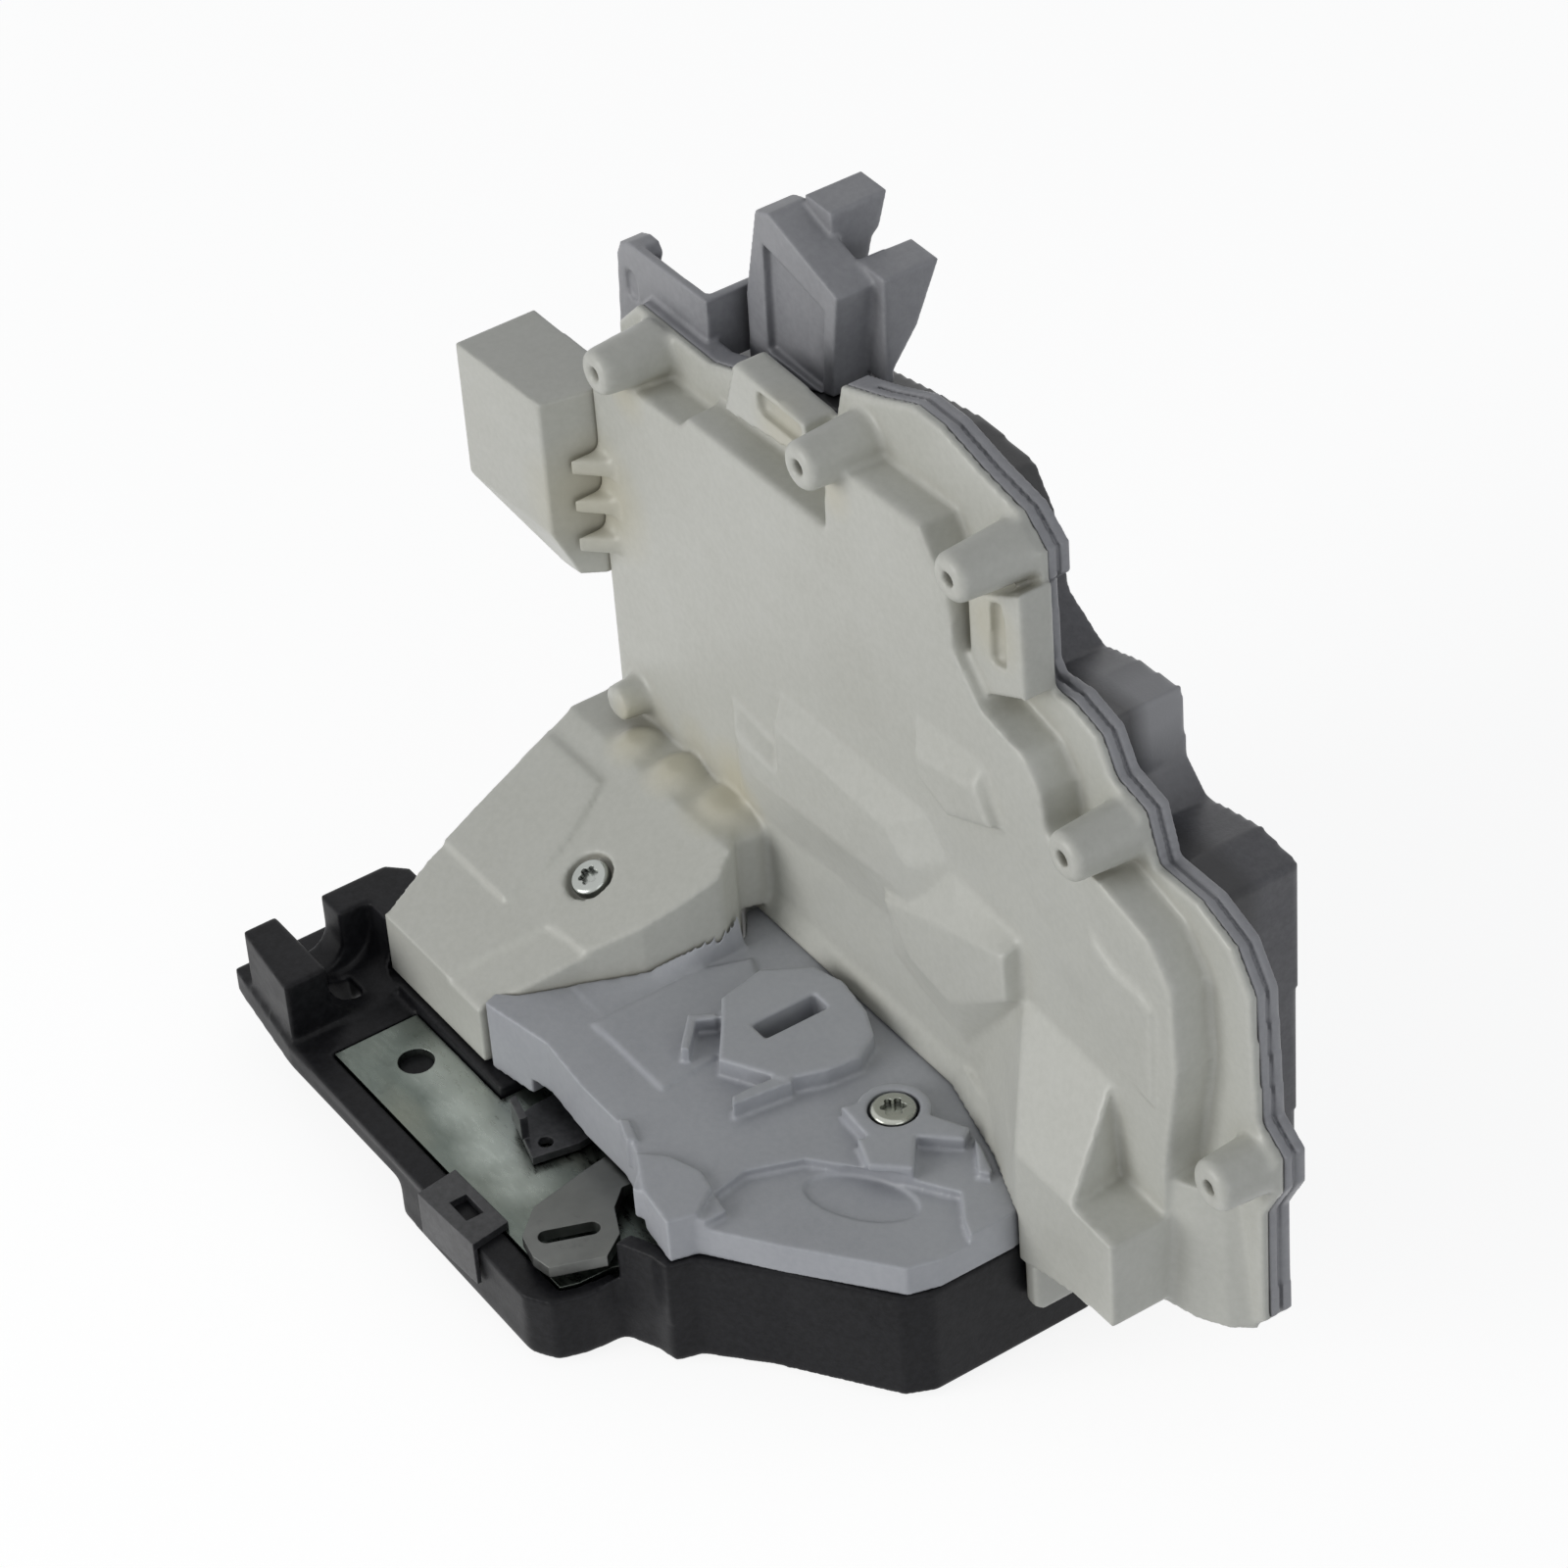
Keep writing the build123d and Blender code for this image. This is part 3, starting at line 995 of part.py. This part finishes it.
with BuildPart() as contact_carrier:
    with BuildSketch(front_plane(38)):
        outline([(-74, 40), (-57, 40), (-57, 66), (-63, 70), (-63, 104), (-74, 104)])
    extrude(amount=1.6)
save(contact_carrier, "contact_carrier")

with BuildPart() as microswitch:
    for z in (44, 58):
        with BuildSketch(front_plane(43.6)):
            with Locations((-62, z)):
                Rectangle(8, 11)
        extrude(amount=5.5)
        with BuildSketch(front_plane(41)):
            with Locations((-57.4, z + 2)):
                Rectangle(1.6, 2)
        extrude(amount=2)
save(microswitch, "microswitches")
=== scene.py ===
import json
import math
import bmesh
import bpy
from mathutils import Matrix, Vector


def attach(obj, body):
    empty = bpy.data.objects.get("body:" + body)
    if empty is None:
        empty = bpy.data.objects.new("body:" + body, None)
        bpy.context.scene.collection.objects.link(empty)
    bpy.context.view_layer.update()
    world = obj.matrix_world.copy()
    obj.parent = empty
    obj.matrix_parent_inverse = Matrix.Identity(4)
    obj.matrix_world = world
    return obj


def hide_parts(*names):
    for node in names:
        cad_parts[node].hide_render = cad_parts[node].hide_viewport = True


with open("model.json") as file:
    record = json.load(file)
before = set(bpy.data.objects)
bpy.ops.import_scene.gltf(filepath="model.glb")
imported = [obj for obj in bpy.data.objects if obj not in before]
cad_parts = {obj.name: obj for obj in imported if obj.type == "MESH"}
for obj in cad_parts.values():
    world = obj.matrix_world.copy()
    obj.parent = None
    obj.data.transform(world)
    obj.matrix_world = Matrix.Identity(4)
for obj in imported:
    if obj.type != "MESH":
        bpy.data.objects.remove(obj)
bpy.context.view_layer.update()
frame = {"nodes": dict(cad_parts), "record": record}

MM = 0.001
SLOTS = {entry["node"]: entry["material_slot"] for entry in frame["record"]["subparts"]}


# Materials

# Share of a spot's reach that is fully tinted
SPOT_CORE = 0.35
# Cosine between the face and its rounded neighbourhood: flat, and sharp
FLAT_COS, SHARP_COS = 0.985, 0.86
# Free share of the sky over a point: open, and deep in a gap
OPEN_SKY, DEEP_SKY = 0.9, 0.25
RAY_SAMPLES = 4
GAP_SAMPLES = 6
# Widths and depths of the surface patterns, in metres
RUB_WIDTH = 0.0004
CORNER_SHADE_REACH = 0.004
RECESS_REACH = 0.0012
GRAIN_DEPTH = 0.00004
LINE_DEPTH = 0.00003
# Pattern scales of the plastics and of the metals
CLOUDS, SPECKS, RUBS, SHADE_MOTTLE, SMEARS, GRAIN, RIPPLE = 38, 900, 260, 140, 70, 2400, 150
TINTS, PATCHES, STAINS = 55, 24, 210
STAIN_SHADE, RECESS_SHADE = 0.6, 0.12


class Graph:
    """Short way to write one material's nodes."""

    def __init__(self, name):
        self.mat = bpy.data.materials.new(name)
        self.mat.use_nodes = True
        self.tree = self.mat.node_tree
        self.tree.nodes.clear()
        self.out = self.add("ShaderNodeOutputMaterial")
        self.bsdf = self.add("ShaderNodeBsdfPrincipled")
        self.link(self.bsdf.outputs["BSDF"], self.out.inputs["Surface"])
        self.coord = self.add("ShaderNodeTexCoord").outputs["Object"]

    def add(self, kind, **values):
        node = self.tree.nodes.new(kind)
        for key, value in values.items():
            setattr(node, key, value)
        return node

    def link(self, source, target):
        self.tree.links.new(source, target)

    def put(self, value, socket):
        if isinstance(value, bpy.types.NodeSocket):
            self.link(value, socket)
        elif isinstance(value, tuple):
            socket.default_value = (*value[:3], 1.0)
        else:
            socket.default_value = value

    def noise(self, scale, detail=3.0, rough=0.5, stretch=None):
        node = self.add("ShaderNodeTexNoise")
        node.inputs["Scale"].default_value = scale
        node.inputs["Detail"].default_value = detail
        node.inputs["Roughness"].default_value = rough
        source = self.coord
        if stretch:
            mapping = self.add("ShaderNodeMapping")
            mapping.inputs["Scale"].default_value = stretch
            self.link(self.coord, mapping.inputs["Vector"])
            source = mapping.outputs["Vector"]
        self.link(source, node.inputs["Vector"])
        return node.outputs["Fac"]

    def ramp(self, source, low, high, a, b):
        node = self.add("ShaderNodeMapRange")
        node.inputs["From Min"].default_value = low
        node.inputs["From Max"].default_value = high
        node.inputs["To Min"].default_value = a
        node.inputs["To Max"].default_value = b
        self.link(source, node.inputs["Value"])
        return node.outputs["Result"]

    def math(self, operation, a, b):
        node = self.add("ShaderNodeMath", operation=operation)
        self.put(a, node.inputs[0])
        self.put(b, node.inputs[1])
        return node.outputs[0]

    def mix(self, factor, a, b):
        node = self.add("ShaderNodeMix", data_type="RGBA")
        self.put(factor, node.inputs[0])
        self.put(a, node.inputs[6])
        self.put(b, node.inputs[7])
        return node.outputs[2]

    def near(self, place, reach):
        """One at a place in the model and zero beyond its reach."""
        gap = self.add("ShaderNodeVectorMath", operation="DISTANCE")
        self.link(self.coord, gap.inputs[0])
        gap.inputs[1].default_value = place
        return self.ramp(gap.outputs["Value"], reach, reach * SPOT_CORE, 0.0, 1.0)

    def edges(self, radius):
        """Zero on flat faces and near one where the surface turns within the radius."""
        bevel = self.add("ShaderNodeBevel", samples=RAY_SAMPLES)
        bevel.inputs["Radius"].default_value = radius
        geometry = self.add("ShaderNodeNewGeometry")
        dot = self.add("ShaderNodeVectorMath", operation="DOT_PRODUCT")
        self.link(bevel.outputs["Normal"], dot.inputs[0])
        self.link(geometry.outputs["Normal"], dot.inputs[1])
        return self.ramp(dot.outputs["Value"], FLAT_COS, SHARP_COS, 0.0, 1.0)

    def corners(self, distance):
        """One deep in corners and gaps, zero in the open."""
        node = self.add("ShaderNodeAmbientOcclusion", samples=GAP_SAMPLES)
        node.inputs["Distance"].default_value = distance
        return self.ramp(node.outputs["AO"], OPEN_SKY, DEEP_SKY, 0.0, 1.0)

    def bump(self, height, distance, strength, soft=0.0):
        node = self.add("ShaderNodeBump")
        node.inputs["Distance"].default_value = distance
        node.inputs["Strength"].default_value = strength
        self.link(height, node.inputs["Height"])
        if soft:
            bevel = self.add("ShaderNodeBevel", samples=RAY_SAMPLES)
            bevel.inputs["Radius"].default_value = soft
            self.link(bevel.outputs["Normal"], node.inputs["Normal"])
        self.link(node.outputs["Normal"], self.bsdf.inputs["Normal"])


def plastic(name, base, shade, worn, rough, grain, wear=0.5, corner_shade=None, soft=0.0, gloss=0.5,
            lit_spots=(), lit_tint=None, shade_fades=()):
    """Moulded polymer: cloudy colour, grain, rubbed edges, painted corner shade, painted light spots and
    shade fades.
    """
    g = Graph(name)
    clouds = g.ramp(g.noise(CLOUDS, 4, 0.6), 0.35, 0.68, 0.0, 1.0)
    colour = g.mix(clouds, base, shade)
    speck = g.ramp(g.noise(SPECKS, 2, 0.6), 0.32, 0.68, 0.0, 0.22)
    colour = g.mix(speck, colour, worn)
    # Painted light: spots painted paler or warmer where light falls on or shines through the part
    for place, reach, amount in lit_spots:
        lit_spot = g.math("MULTIPLY", g.near(place, reach), amount)
        colour = g.mix(lit_spot, colour, lit_tint)
    rub = g.math("MULTIPLY", g.edges(RUB_WIDTH), g.ramp(g.noise(RUBS, 3, 0.6), 0.4, 0.7, 0.15 * wear, wear))
    colour = g.mix(rub, colour, worn)
    # Painted shade that deepens along one axis
    for axis, clear, full, amount, tint in shade_fades:
        part = g.add("ShaderNodeSeparateXYZ")
        g.link(g.coord, part.inputs[0])
        colour = g.mix(g.ramp(part.outputs[axis], clear, full, 0.0, amount), colour, tint)
    # Painted shade in corners and gaps, mottled by noise
    if corner_shade:
        depth = g.math("MULTIPLY", g.corners(CORNER_SHADE_REACH), g.ramp(g.noise(SHADE_MOTTLE, 4, 0.6), 0.3, 0.7, 0.35, 0.75))
        colour = g.mix(depth, colour, corner_shade)
    g.link(colour, g.bsdf.inputs["Base Color"])
    smears = g.noise(SMEARS, 4, 0.6, (1, 1, 2.4))
    g.link(g.ramp(smears, 0.3, 0.7, rough - 0.07, rough + 0.09), g.bsdf.inputs["Roughness"])
    g.bsdf.inputs["Specular IOR Level"].default_value = gloss
    fine = g.math("ADD", g.noise(GRAIN, 2, 0.5), g.ramp(g.noise(RIPPLE, 3, 0.5), 0.0, 1.0, 0.0, 1.6))
    g.bump(fine, GRAIN_DEPTH, grain, soft)
    return g.mat


def metal(name, base, tint, second, rough, stretch=(1, 1, 1), painted_highlights=(), highlight_tint=None,
          bump=0.25, scale=420, soft=0.0002):
    """Plated or turned steel: cloudy tints, fine drawn lines, painted highlight patches and painted shade in
    recesses.
    """
    g = Graph(name)
    g.bsdf.inputs["Metallic"].default_value = 1.0
    clouds = g.ramp(g.noise(TINTS, 4, 0.6), 0.36, 0.66, 0.0, 1.0)
    colour = g.mix(clouds, base, tint)
    patches = g.ramp(g.noise(PATCHES, 3, 0.55, (1.0, 1.8, 1.0)), 0.46, 0.66, 0.0, 0.8)
    colour = g.mix(patches, colour, second)
    stains = g.ramp(g.noise(STAINS, 4, 0.7), 0.6, 0.74, 0.0, 0.5)
    colour = g.mix(stains, colour, tuple(STAIN_SHADE * part for part in base))
    # Painted highlight patches
    for place, reach, amount in painted_highlights:
        highlight = g.math("MULTIPLY", g.near(place, reach), amount)
        colour = g.mix(highlight, colour, highlight_tint)
    # Painted shade in recesses
    deep = g.math("MULTIPLY", g.corners(RECESS_REACH), 0.85)
    colour = g.mix(deep, colour, tuple(RECESS_SHADE * part for part in base))
    g.link(colour, g.bsdf.inputs["Base Color"])
    lines = g.noise(scale, 3, 0.55, stretch)
    g.link(g.ramp(lines, 0.3, 0.7, rough - 0.08, rough + 0.12), g.bsdf.inputs["Roughness"])
    g.bump(lines, LINE_DEPTH, bump, soft)
    return g.mat


# Painted light: thin places of the white shell painted warmer where the light shines through: place, reach
# and amount
THIN_PLACES = [
    ((-0.066, 0.022, 0.049), 0.007, 0.45), ((-0.056, 0.023, 0.049), 0.0075, 0.45),
    ((-0.045, 0.0255, 0.048), 0.009, 0.45), ((0.0225, 0.029, 0.118), 0.008, 0.3),
    ((-0.028, 0.029, 0.122), 0.008, 0.3), ((-0.0127, 0.030, 0.122), 0.006, 0.3),
    ((-0.0678, 0.030, 0.108), 0.006, 0.3), ((-0.076, 0.026, 0.085), 0.013, 0.35),
]
WHITE_GLOW_TINT = (0.60, 0.545, 0.36)
# Painted light: the rear cover's plate painted paler where it is lit: place, reach and amount
LIT_PLATE = [((0.033, 0.051, 0.103), 0.020, 0.95), ((0.033, 0.051, 0.118), 0.016, 0.9)]
LIT_PLATE_TINT = (0.42, 0.422, 0.44)
# Painted shade on the rear cover behind the frame and towards its top: axis, where it starts, where it is
# full, amount and tint
REAR_SHADE_FADES = [
    ("Y", 0.0495, 0.0462, 0.8, (0.012, 0.012, 0.014)), ("Z", 0.104, 0.114, 0.75, (0.02, 0.02, 0.02)),
]
# Painted highlight: a bright band along the zinc plate: place, reach and amount
PLATE_PAINTED_HIGHLIGHT = [
    ((-0.0535, -0.0215, 0.0127), 0.009, 0.85), ((-0.0435, -0.0235, 0.0127), 0.0085, 0.85),
    ((-0.033, -0.0255, 0.0127), 0.0085, 0.75), ((-0.024, -0.0275, 0.0127), 0.006, 0.5),
]
PLATE_HIGHLIGHT_TINT = (0.40, 0.44, 0.41)
MATS = {
    "white_plastic": plastic(
        "white_plastic", (0.585, 0.592, 0.55), (0.55, 0.555, 0.51), (0.72, 0.72, 0.68), 0.36, 0.3,
        wear=0.35, corner_shade=(0.30, 0.28, 0.22), lit_spots=THIN_PLACES, lit_tint=WHITE_GLOW_TINT),
    "grey_plastic": plastic(
        "grey_plastic", (0.445, 0.46, 0.495), (0.40, 0.413, 0.45), (0.56, 0.57, 0.60), 0.42, 0.4,
        corner_shade=(0.14, 0.14, 0.155)),
    "frame_plastic": plastic(
        "frame_plastic", (0.335, 0.338, 0.36), (0.28, 0.283, 0.305), (0.47, 0.475, 0.50), 0.4, 0.4,
        corner_shade=(0.035, 0.035, 0.04)),
    # The rear cover's grey plastic painted dark as shade, with a painted lit plate and painted shade fades
    "rear_plastic": plastic(
        "rear_plastic", (0.075, 0.076, 0.086), (0.055, 0.056, 0.064), (0.20, 0.20, 0.22), 0.38, 0.5,
        corner_shade=(0.015, 0.015, 0.018), lit_spots=LIT_PLATE, lit_tint=LIT_PLATE_TINT, shade_fades=REAR_SHADE_FADES),
    "black_plastic": plastic(
        "black_plastic", (0.006, 0.006, 0.007), (0.011, 0.011, 0.013), (0.045, 0.046, 0.052), 0.4, 0.5,
        wear=0.4, corner_shade=(0.003, 0.003, 0.004), gloss=0.15),
    "jacket_plastic": plastic(
        "jacket_plastic", (0.02, 0.02, 0.022), (0.03, 0.03, 0.033), (0.09, 0.09, 0.09), 0.4, 0.4,
        soft=0.0004),
    "gear_plastic": plastic(
        "gear_plastic", (0.56, 0.55, 0.48), (0.50, 0.49, 0.42), (0.66, 0.65, 0.58), 0.35, 0.2,
        soft=0.0003),
    "rubber": plastic(
        "rubber", (0.015, 0.015, 0.015), (0.022, 0.022, 0.022), (0.05, 0.05, 0.05), 0.7, 0.5,
        soft=0.0005, gloss=0.3),
    "dark_steel": plastic(
        "dark_steel", (0.012, 0.0125, 0.014), (0.02, 0.021, 0.024), (0.14, 0.14, 0.15), 0.36, 0.4,
        wear=0.7, soft=0.0003),
    "zinc_steel": metal(
        "zinc_steel", (0.135, 0.158, 0.142), (0.165, 0.185, 0.165), (0.20, 0.205, 0.165), 0.30,
        stretch=(1, 3, 1), painted_highlights=PLATE_PAINTED_HIGHLIGHT, highlight_tint=PLATE_HIGHLIGHT_TINT),
    "screw_zinc": metal("screw_zinc", (0.42, 0.44, 0.42), (0.34, 0.36, 0.34), (0.46, 0.47, 0.42), 0.2),
    "lever_steel": metal("lever_steel", (0.155, 0.16, 0.155), (0.12, 0.125, 0.12), (0.21, 0.215, 0.20), 0.38),
    "pin_steel": metal("pin_steel", (0.5, 0.5, 0.5), (0.42, 0.42, 0.42), (0.5, 0.5, 0.48), 0.3),
    "spring_steel": metal("spring_steel", (0.34, 0.34, 0.34), (0.26, 0.26, 0.27), (0.34, 0.33, 0.31), 0.32),
    "motor_steel": metal(
        "motor_steel", (0.55, 0.55, 0.54), (0.48, 0.48, 0.48), (0.5, 0.5, 0.5), 0.3, stretch=(1, 1, 0.1)),
    "brass": metal("brass", (0.78, 0.62, 0.34), (0.7, 0.54, 0.28), (0.74, 0.6, 0.36), 0.25),
}

for node, obj in frame["nodes"].items():
    obj.data.materials.clear()
    obj.data.materials.append(MATS[SLOTS[node]])


# Moulded pieces: the CAD shapes with rounded edges and filled corners

WELD = 0.001 * MM
SMOOTH_SHARE = 0.5
WIDE_PASSES = 22


def free_mesh(obj):
    """Copy of an object's mesh with its faces joined."""
    mesh = obj.data.copy()
    shell = bmesh.new()
    shell.from_mesh(mesh)
    bmesh.ops.remove_doubles(shell, verts=shell.verts, dist=WELD)
    shell.to_mesh(mesh)
    shell.free()
    return mesh


def baked(obj):
    """Put an object's modifiers into its mesh."""
    graph = bpy.context.evaluated_depsgraph_get()
    mesh = bpy.data.meshes.new_from_object(obj.evaluated_get(graph))
    obj.modifiers.clear()
    obj.data = mesh


def moulded(node, cell, passes, keep, wide=None):
    """Rounded stand-in for a moulded node; wide(place) says where its edges are drawn off further."""
    piece = bpy.data.objects.new(node + "_moulded", free_mesh(frame["nodes"][node]))
    bpy.context.scene.collection.objects.link(piece)
    grid = piece.modifiers.new("grid", "REMESH")
    grid.mode = "VOXEL"
    grid.voxel_size = cell
    soften = piece.modifiers.new("soften", "SMOOTH")
    soften.factor = SMOOTH_SHARE
    soften.iterations = passes
    baked(piece)
    if wide:
        group = piece.vertex_groups.new(name="wide")
        for vertex in piece.data.vertices:
            if wide(vertex.co):
                group.add([vertex.index], 1.0, "REPLACE")
        draw = piece.modifiers.new("draw", "SMOOTH")
        draw.factor = SMOOTH_SHARE
        draw.iterations = WIDE_PASSES
        draw.vertex_group = "wide"
        baked(piece)
    thin = piece.modifiers.new("thin", "DECIMATE")
    thin.ratio = keep
    baked(piece)
    for face in piece.data.polygons:
        face.use_smooth = True
    piece.data.materials.clear()
    piece.data.materials.append(MATS[SLOTS[node]])
    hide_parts(node)
    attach(piece, "latch_frame")


# Screw bosses of the wing as x and z, and its clip boxes as x and z ranges
BOSSES = [(-0.0678, 0.1138), (-0.0127, 0.128), (0.0238, 0.1302), (0.0465, 0.0956), (0.0749, 0.054)]
CLIP_BOXES = [(-0.044, -0.019, 0.116, 0.130), (0.0155, 0.0315, 0.102, 0.129)]
BOSS_CLEAR = 0.0056
# The wing's outline from the front, in millimetres, and how far inside it the edge is drawn off
WING_LINE = [
    (38, 45), (62.3, 45), (65.5, 67), (64.8, 81), (59.5, 87.4), (48.5, 90.5), (36.5, 91), (35.5, 97.4),
    (32, 101.7), (22, 104), (15.8, 111), (15.2, 119.4), (9, 128), (-14.4, 127), (-15.5, 113.5), (-51, 113),
    (-53.5, 110.2), (-78, 109.5), (-78, 46),
]
EDGE_REACH = 2.8
# Limits of the wing's front band, of the humps, of the case's foot and of the cover's band
WING_FRONT, WING_BACK, WING_FOOT = 0.0265, 0.0335, 0.046
HUMP_RIGHT, HUMP_BACK, HUMP_FOOT = -0.036, 0.0275, 0.0425
CASE_FOOT_TOP, CASE_FRONT, CASE_LEFT = 0.0085, -0.012, -0.03
BAND_RIGHT, BAND_FRONT, BAND_FOOT = -0.030, -0.004, 0.0281


def line_gap(x, z):
    """Distance in millimetres from the wing's outline."""
    best = math.inf
    for (x0, z0), (x1, z1) in zip(WING_LINE, WING_LINE[1:]):
        run, rise = x1 - x0, z1 - z0
        share = max(0.0, min(1.0, ((x - x0) * run + (z - z0) * rise) / (run * run + rise * rise)))
        best = min(best, math.hypot(x - x0 - share * run, z - z0 - share * rise))
    return best


def case_foot(place):
    """Lower outer edges of the black case."""
    return place.z < CASE_FOOT_TOP and (place.y < CASE_FRONT or place.x < CASE_LEFT)


def band_edge(place):
    """Where the cover's band runs up beside the shoulder."""
    return place.x < BAND_RIGHT and place.y > BAND_FRONT and place.z > BAND_FOOT


def wing_edge(place):
    """The housing's humps, and its wing's edge clear of bosses, clip boxes and rim."""
    if place.x < HUMP_RIGHT and place.y < HUMP_BACK and place.z > HUMP_FOOT:
        return True
    if place.y > WING_BACK or place.y < WING_FRONT or place.z < WING_FOOT:
        return False
    if line_gap(place.x / MM, place.z / MM) > EDGE_REACH:
        return False
    if min(math.hypot(place.x - x, place.z - z) for x, z in BOSSES) < BOSS_CLEAR:
        return False
    return not any(x0 < place.x < x1 and z0 < place.z < z1 for x0, x1, z0, z1 in CLIP_BOXES)


# Node, voxel, smoothing passes, share of faces kept, and where its edges are drawn off further
moulded("actuator_housing", 0.5 * MM, 4, 0.45, wing_edge)
moulded("latch_cover", 0.32 * MM, 3, 0.45, band_edge)
moulded("mid_frame", 0.35 * MM, 2, 0.4)
moulded("rear_cover", 0.5 * MM, 4, 0.4)
moulded("top_bracket", 0.35 * MM, 5, 0.4)
moulded("connector_housing", 0.35 * MM, 4, 0.4)
moulded("latch_case", 0.45 * MM, 4, 0.4, case_foot)

# Floor, light and camera

SPAN = 3.0
DROP = 0.6 * MM
FLOOR_TONE = 0.82
SEEN_TONE, SEEN_GLOW = 0.3, 0.86
FILL = 0.26

floor_mesh = bpy.data.meshes.new("floor")
floor_mesh.from_pydata(
    [(-SPAN, -SPAN, -DROP), (SPAN, -SPAN, -DROP), (SPAN, SPAN, -DROP), (-SPAN, SPAN, -DROP)],
    [], [(0, 1, 2, 3)])
floor = bpy.data.objects.new("floor", floor_mesh)
bpy.context.scene.collection.objects.link(floor)


def seen_factor(tree):
    """One for rays that come from the camera, a gloss or a clear surface."""
    path = tree.nodes.new("ShaderNodeLightPath")
    gloss = tree.nodes.new("ShaderNodeMath")
    gloss.operation = "MAXIMUM"
    tree.links.new(path.outputs["Is Camera Ray"], gloss.inputs[0])
    tree.links.new(path.outputs["Is Glossy Ray"], gloss.inputs[1])
    clear = tree.nodes.new("ShaderNodeMath")
    clear.operation = "MAXIMUM"
    tree.links.new(gloss.outputs[0], clear.inputs[0])
    tree.links.new(path.outputs["Is Transmission Ray"], clear.inputs[1])
    return clear.outputs[0]


floor_mat = bpy.data.materials.new("floor")
floor_mat.use_nodes = True
ft = floor_mat.node_tree
ft.nodes.clear()
f_out = ft.nodes.new("ShaderNodeOutputMaterial")
f_mix = ft.nodes.new("ShaderNodeMixShader")
f_lit = ft.nodes.new("ShaderNodeBsdfDiffuse")
f_lit.inputs["Color"].default_value = (FLOOR_TONE, FLOOR_TONE, FLOOR_TONE, 1)
f_seen = ft.nodes.new("ShaderNodeAddShader")
f_pale = ft.nodes.new("ShaderNodeBsdfDiffuse")
f_pale.inputs["Color"].default_value = (SEEN_TONE, SEEN_TONE, SEEN_TONE, 1)
f_glow = ft.nodes.new("ShaderNodeEmission")
f_glow.inputs["Color"].default_value = (1, 1, 1, 1)
f_glow.inputs["Strength"].default_value = SEEN_GLOW
ft.links.new(f_pale.outputs[0], f_seen.inputs[0])
ft.links.new(f_glow.outputs[0], f_seen.inputs[1])
ft.links.new(seen_factor(ft), f_mix.inputs[0])
ft.links.new(f_lit.outputs[0], f_mix.inputs[1])
ft.links.new(f_seen.outputs[0], f_mix.inputs[2])
ft.links.new(f_mix.outputs[0], f_out.inputs["Surface"])
floor_mesh.materials.append(floor_mat)

world = bpy.data.worlds.new("studio")
bpy.context.scene.world = world
world.use_nodes = True
wt = world.node_tree
wt.nodes.clear()
w_out = wt.nodes.new("ShaderNodeOutputWorld")
w_fill = wt.nodes.new("ShaderNodeBackground")
w_fill.inputs["Color"].default_value = (0.95, 0.97, 1.0, 1)
w_fill.inputs["Strength"].default_value = FILL
w_white = wt.nodes.new("ShaderNodeBackground")
w_white.inputs["Color"].default_value = (1, 1, 1, 1)
w_mix = wt.nodes.new("ShaderNodeMixShader")
wt.links.new(seen_factor(wt), w_mix.inputs[0])
wt.links.new(w_fill.outputs[0], w_mix.inputs[1])
wt.links.new(w_white.outputs[0], w_mix.inputs[2])
wt.links.new(w_mix.outputs[0], w_out.inputs["Surface"])


def lamp(name, place, target, size, power, colour):
    """Soft square lamp that looks at a point."""
    data = bpy.data.lights.new(name, "AREA")
    data.shape = "SQUARE"
    data.size = size
    data.energy = power
    data.color = colour
    obj = bpy.data.objects.new(name, data)
    bpy.context.scene.collection.objects.link(obj)
    obj.location = place
    aim = (Vector(target) - Vector(place)).to_track_quat("-Z", "Y")
    obj.rotation_euler = aim.to_euler()


lamp("key", (-0.25, -1.2, 0.37), (0, 0.0, 0.06), 0.8, 7.5, (1.0, 0.99, 0.965))
lamp("top", (0.1, 0.1, 1.3), (0, 0, 0.05), 0.9, 0.12, (0.97, 0.985, 1.0))
lamp("side", (1.2, -0.1, 0.4), (0, 0, 0.07), 0.8, 2.2, (0.96, 0.98, 1.0))

# The camera stands at the photo's angle: its place, and about where its right side and its front point
CAM_AT = Vector((0.52442, -0.30994, 0.58415))
ABOUT_RIGHT = Vector((0.5606, 0.8258, -0.0617)).normalized()
AHEAD = Vector((-0.6637, 0.4035, -0.6298)).normalized()
LENS = 128.49
UP = ABOUT_RIGHT.cross(AHEAD).normalized()
RIGHT = AHEAD.cross(UP).normalized()
cam_data = bpy.data.cameras.new("camera")
cam_data.sensor_width = 36
cam_data.lens = LENS
cam_data.clip_start = 0.01
cam = bpy.data.objects.new("camera", cam_data)
bpy.context.scene.collection.objects.link(cam)
turn = Matrix((RIGHT, UP, -AHEAD)).transposed()
cam.matrix_world = Matrix.Translation(CAM_AT) @ turn.to_4x4()
bpy.context.scene.camera = cam
bpy.context.scene.view_settings.view_transform = "Standard"
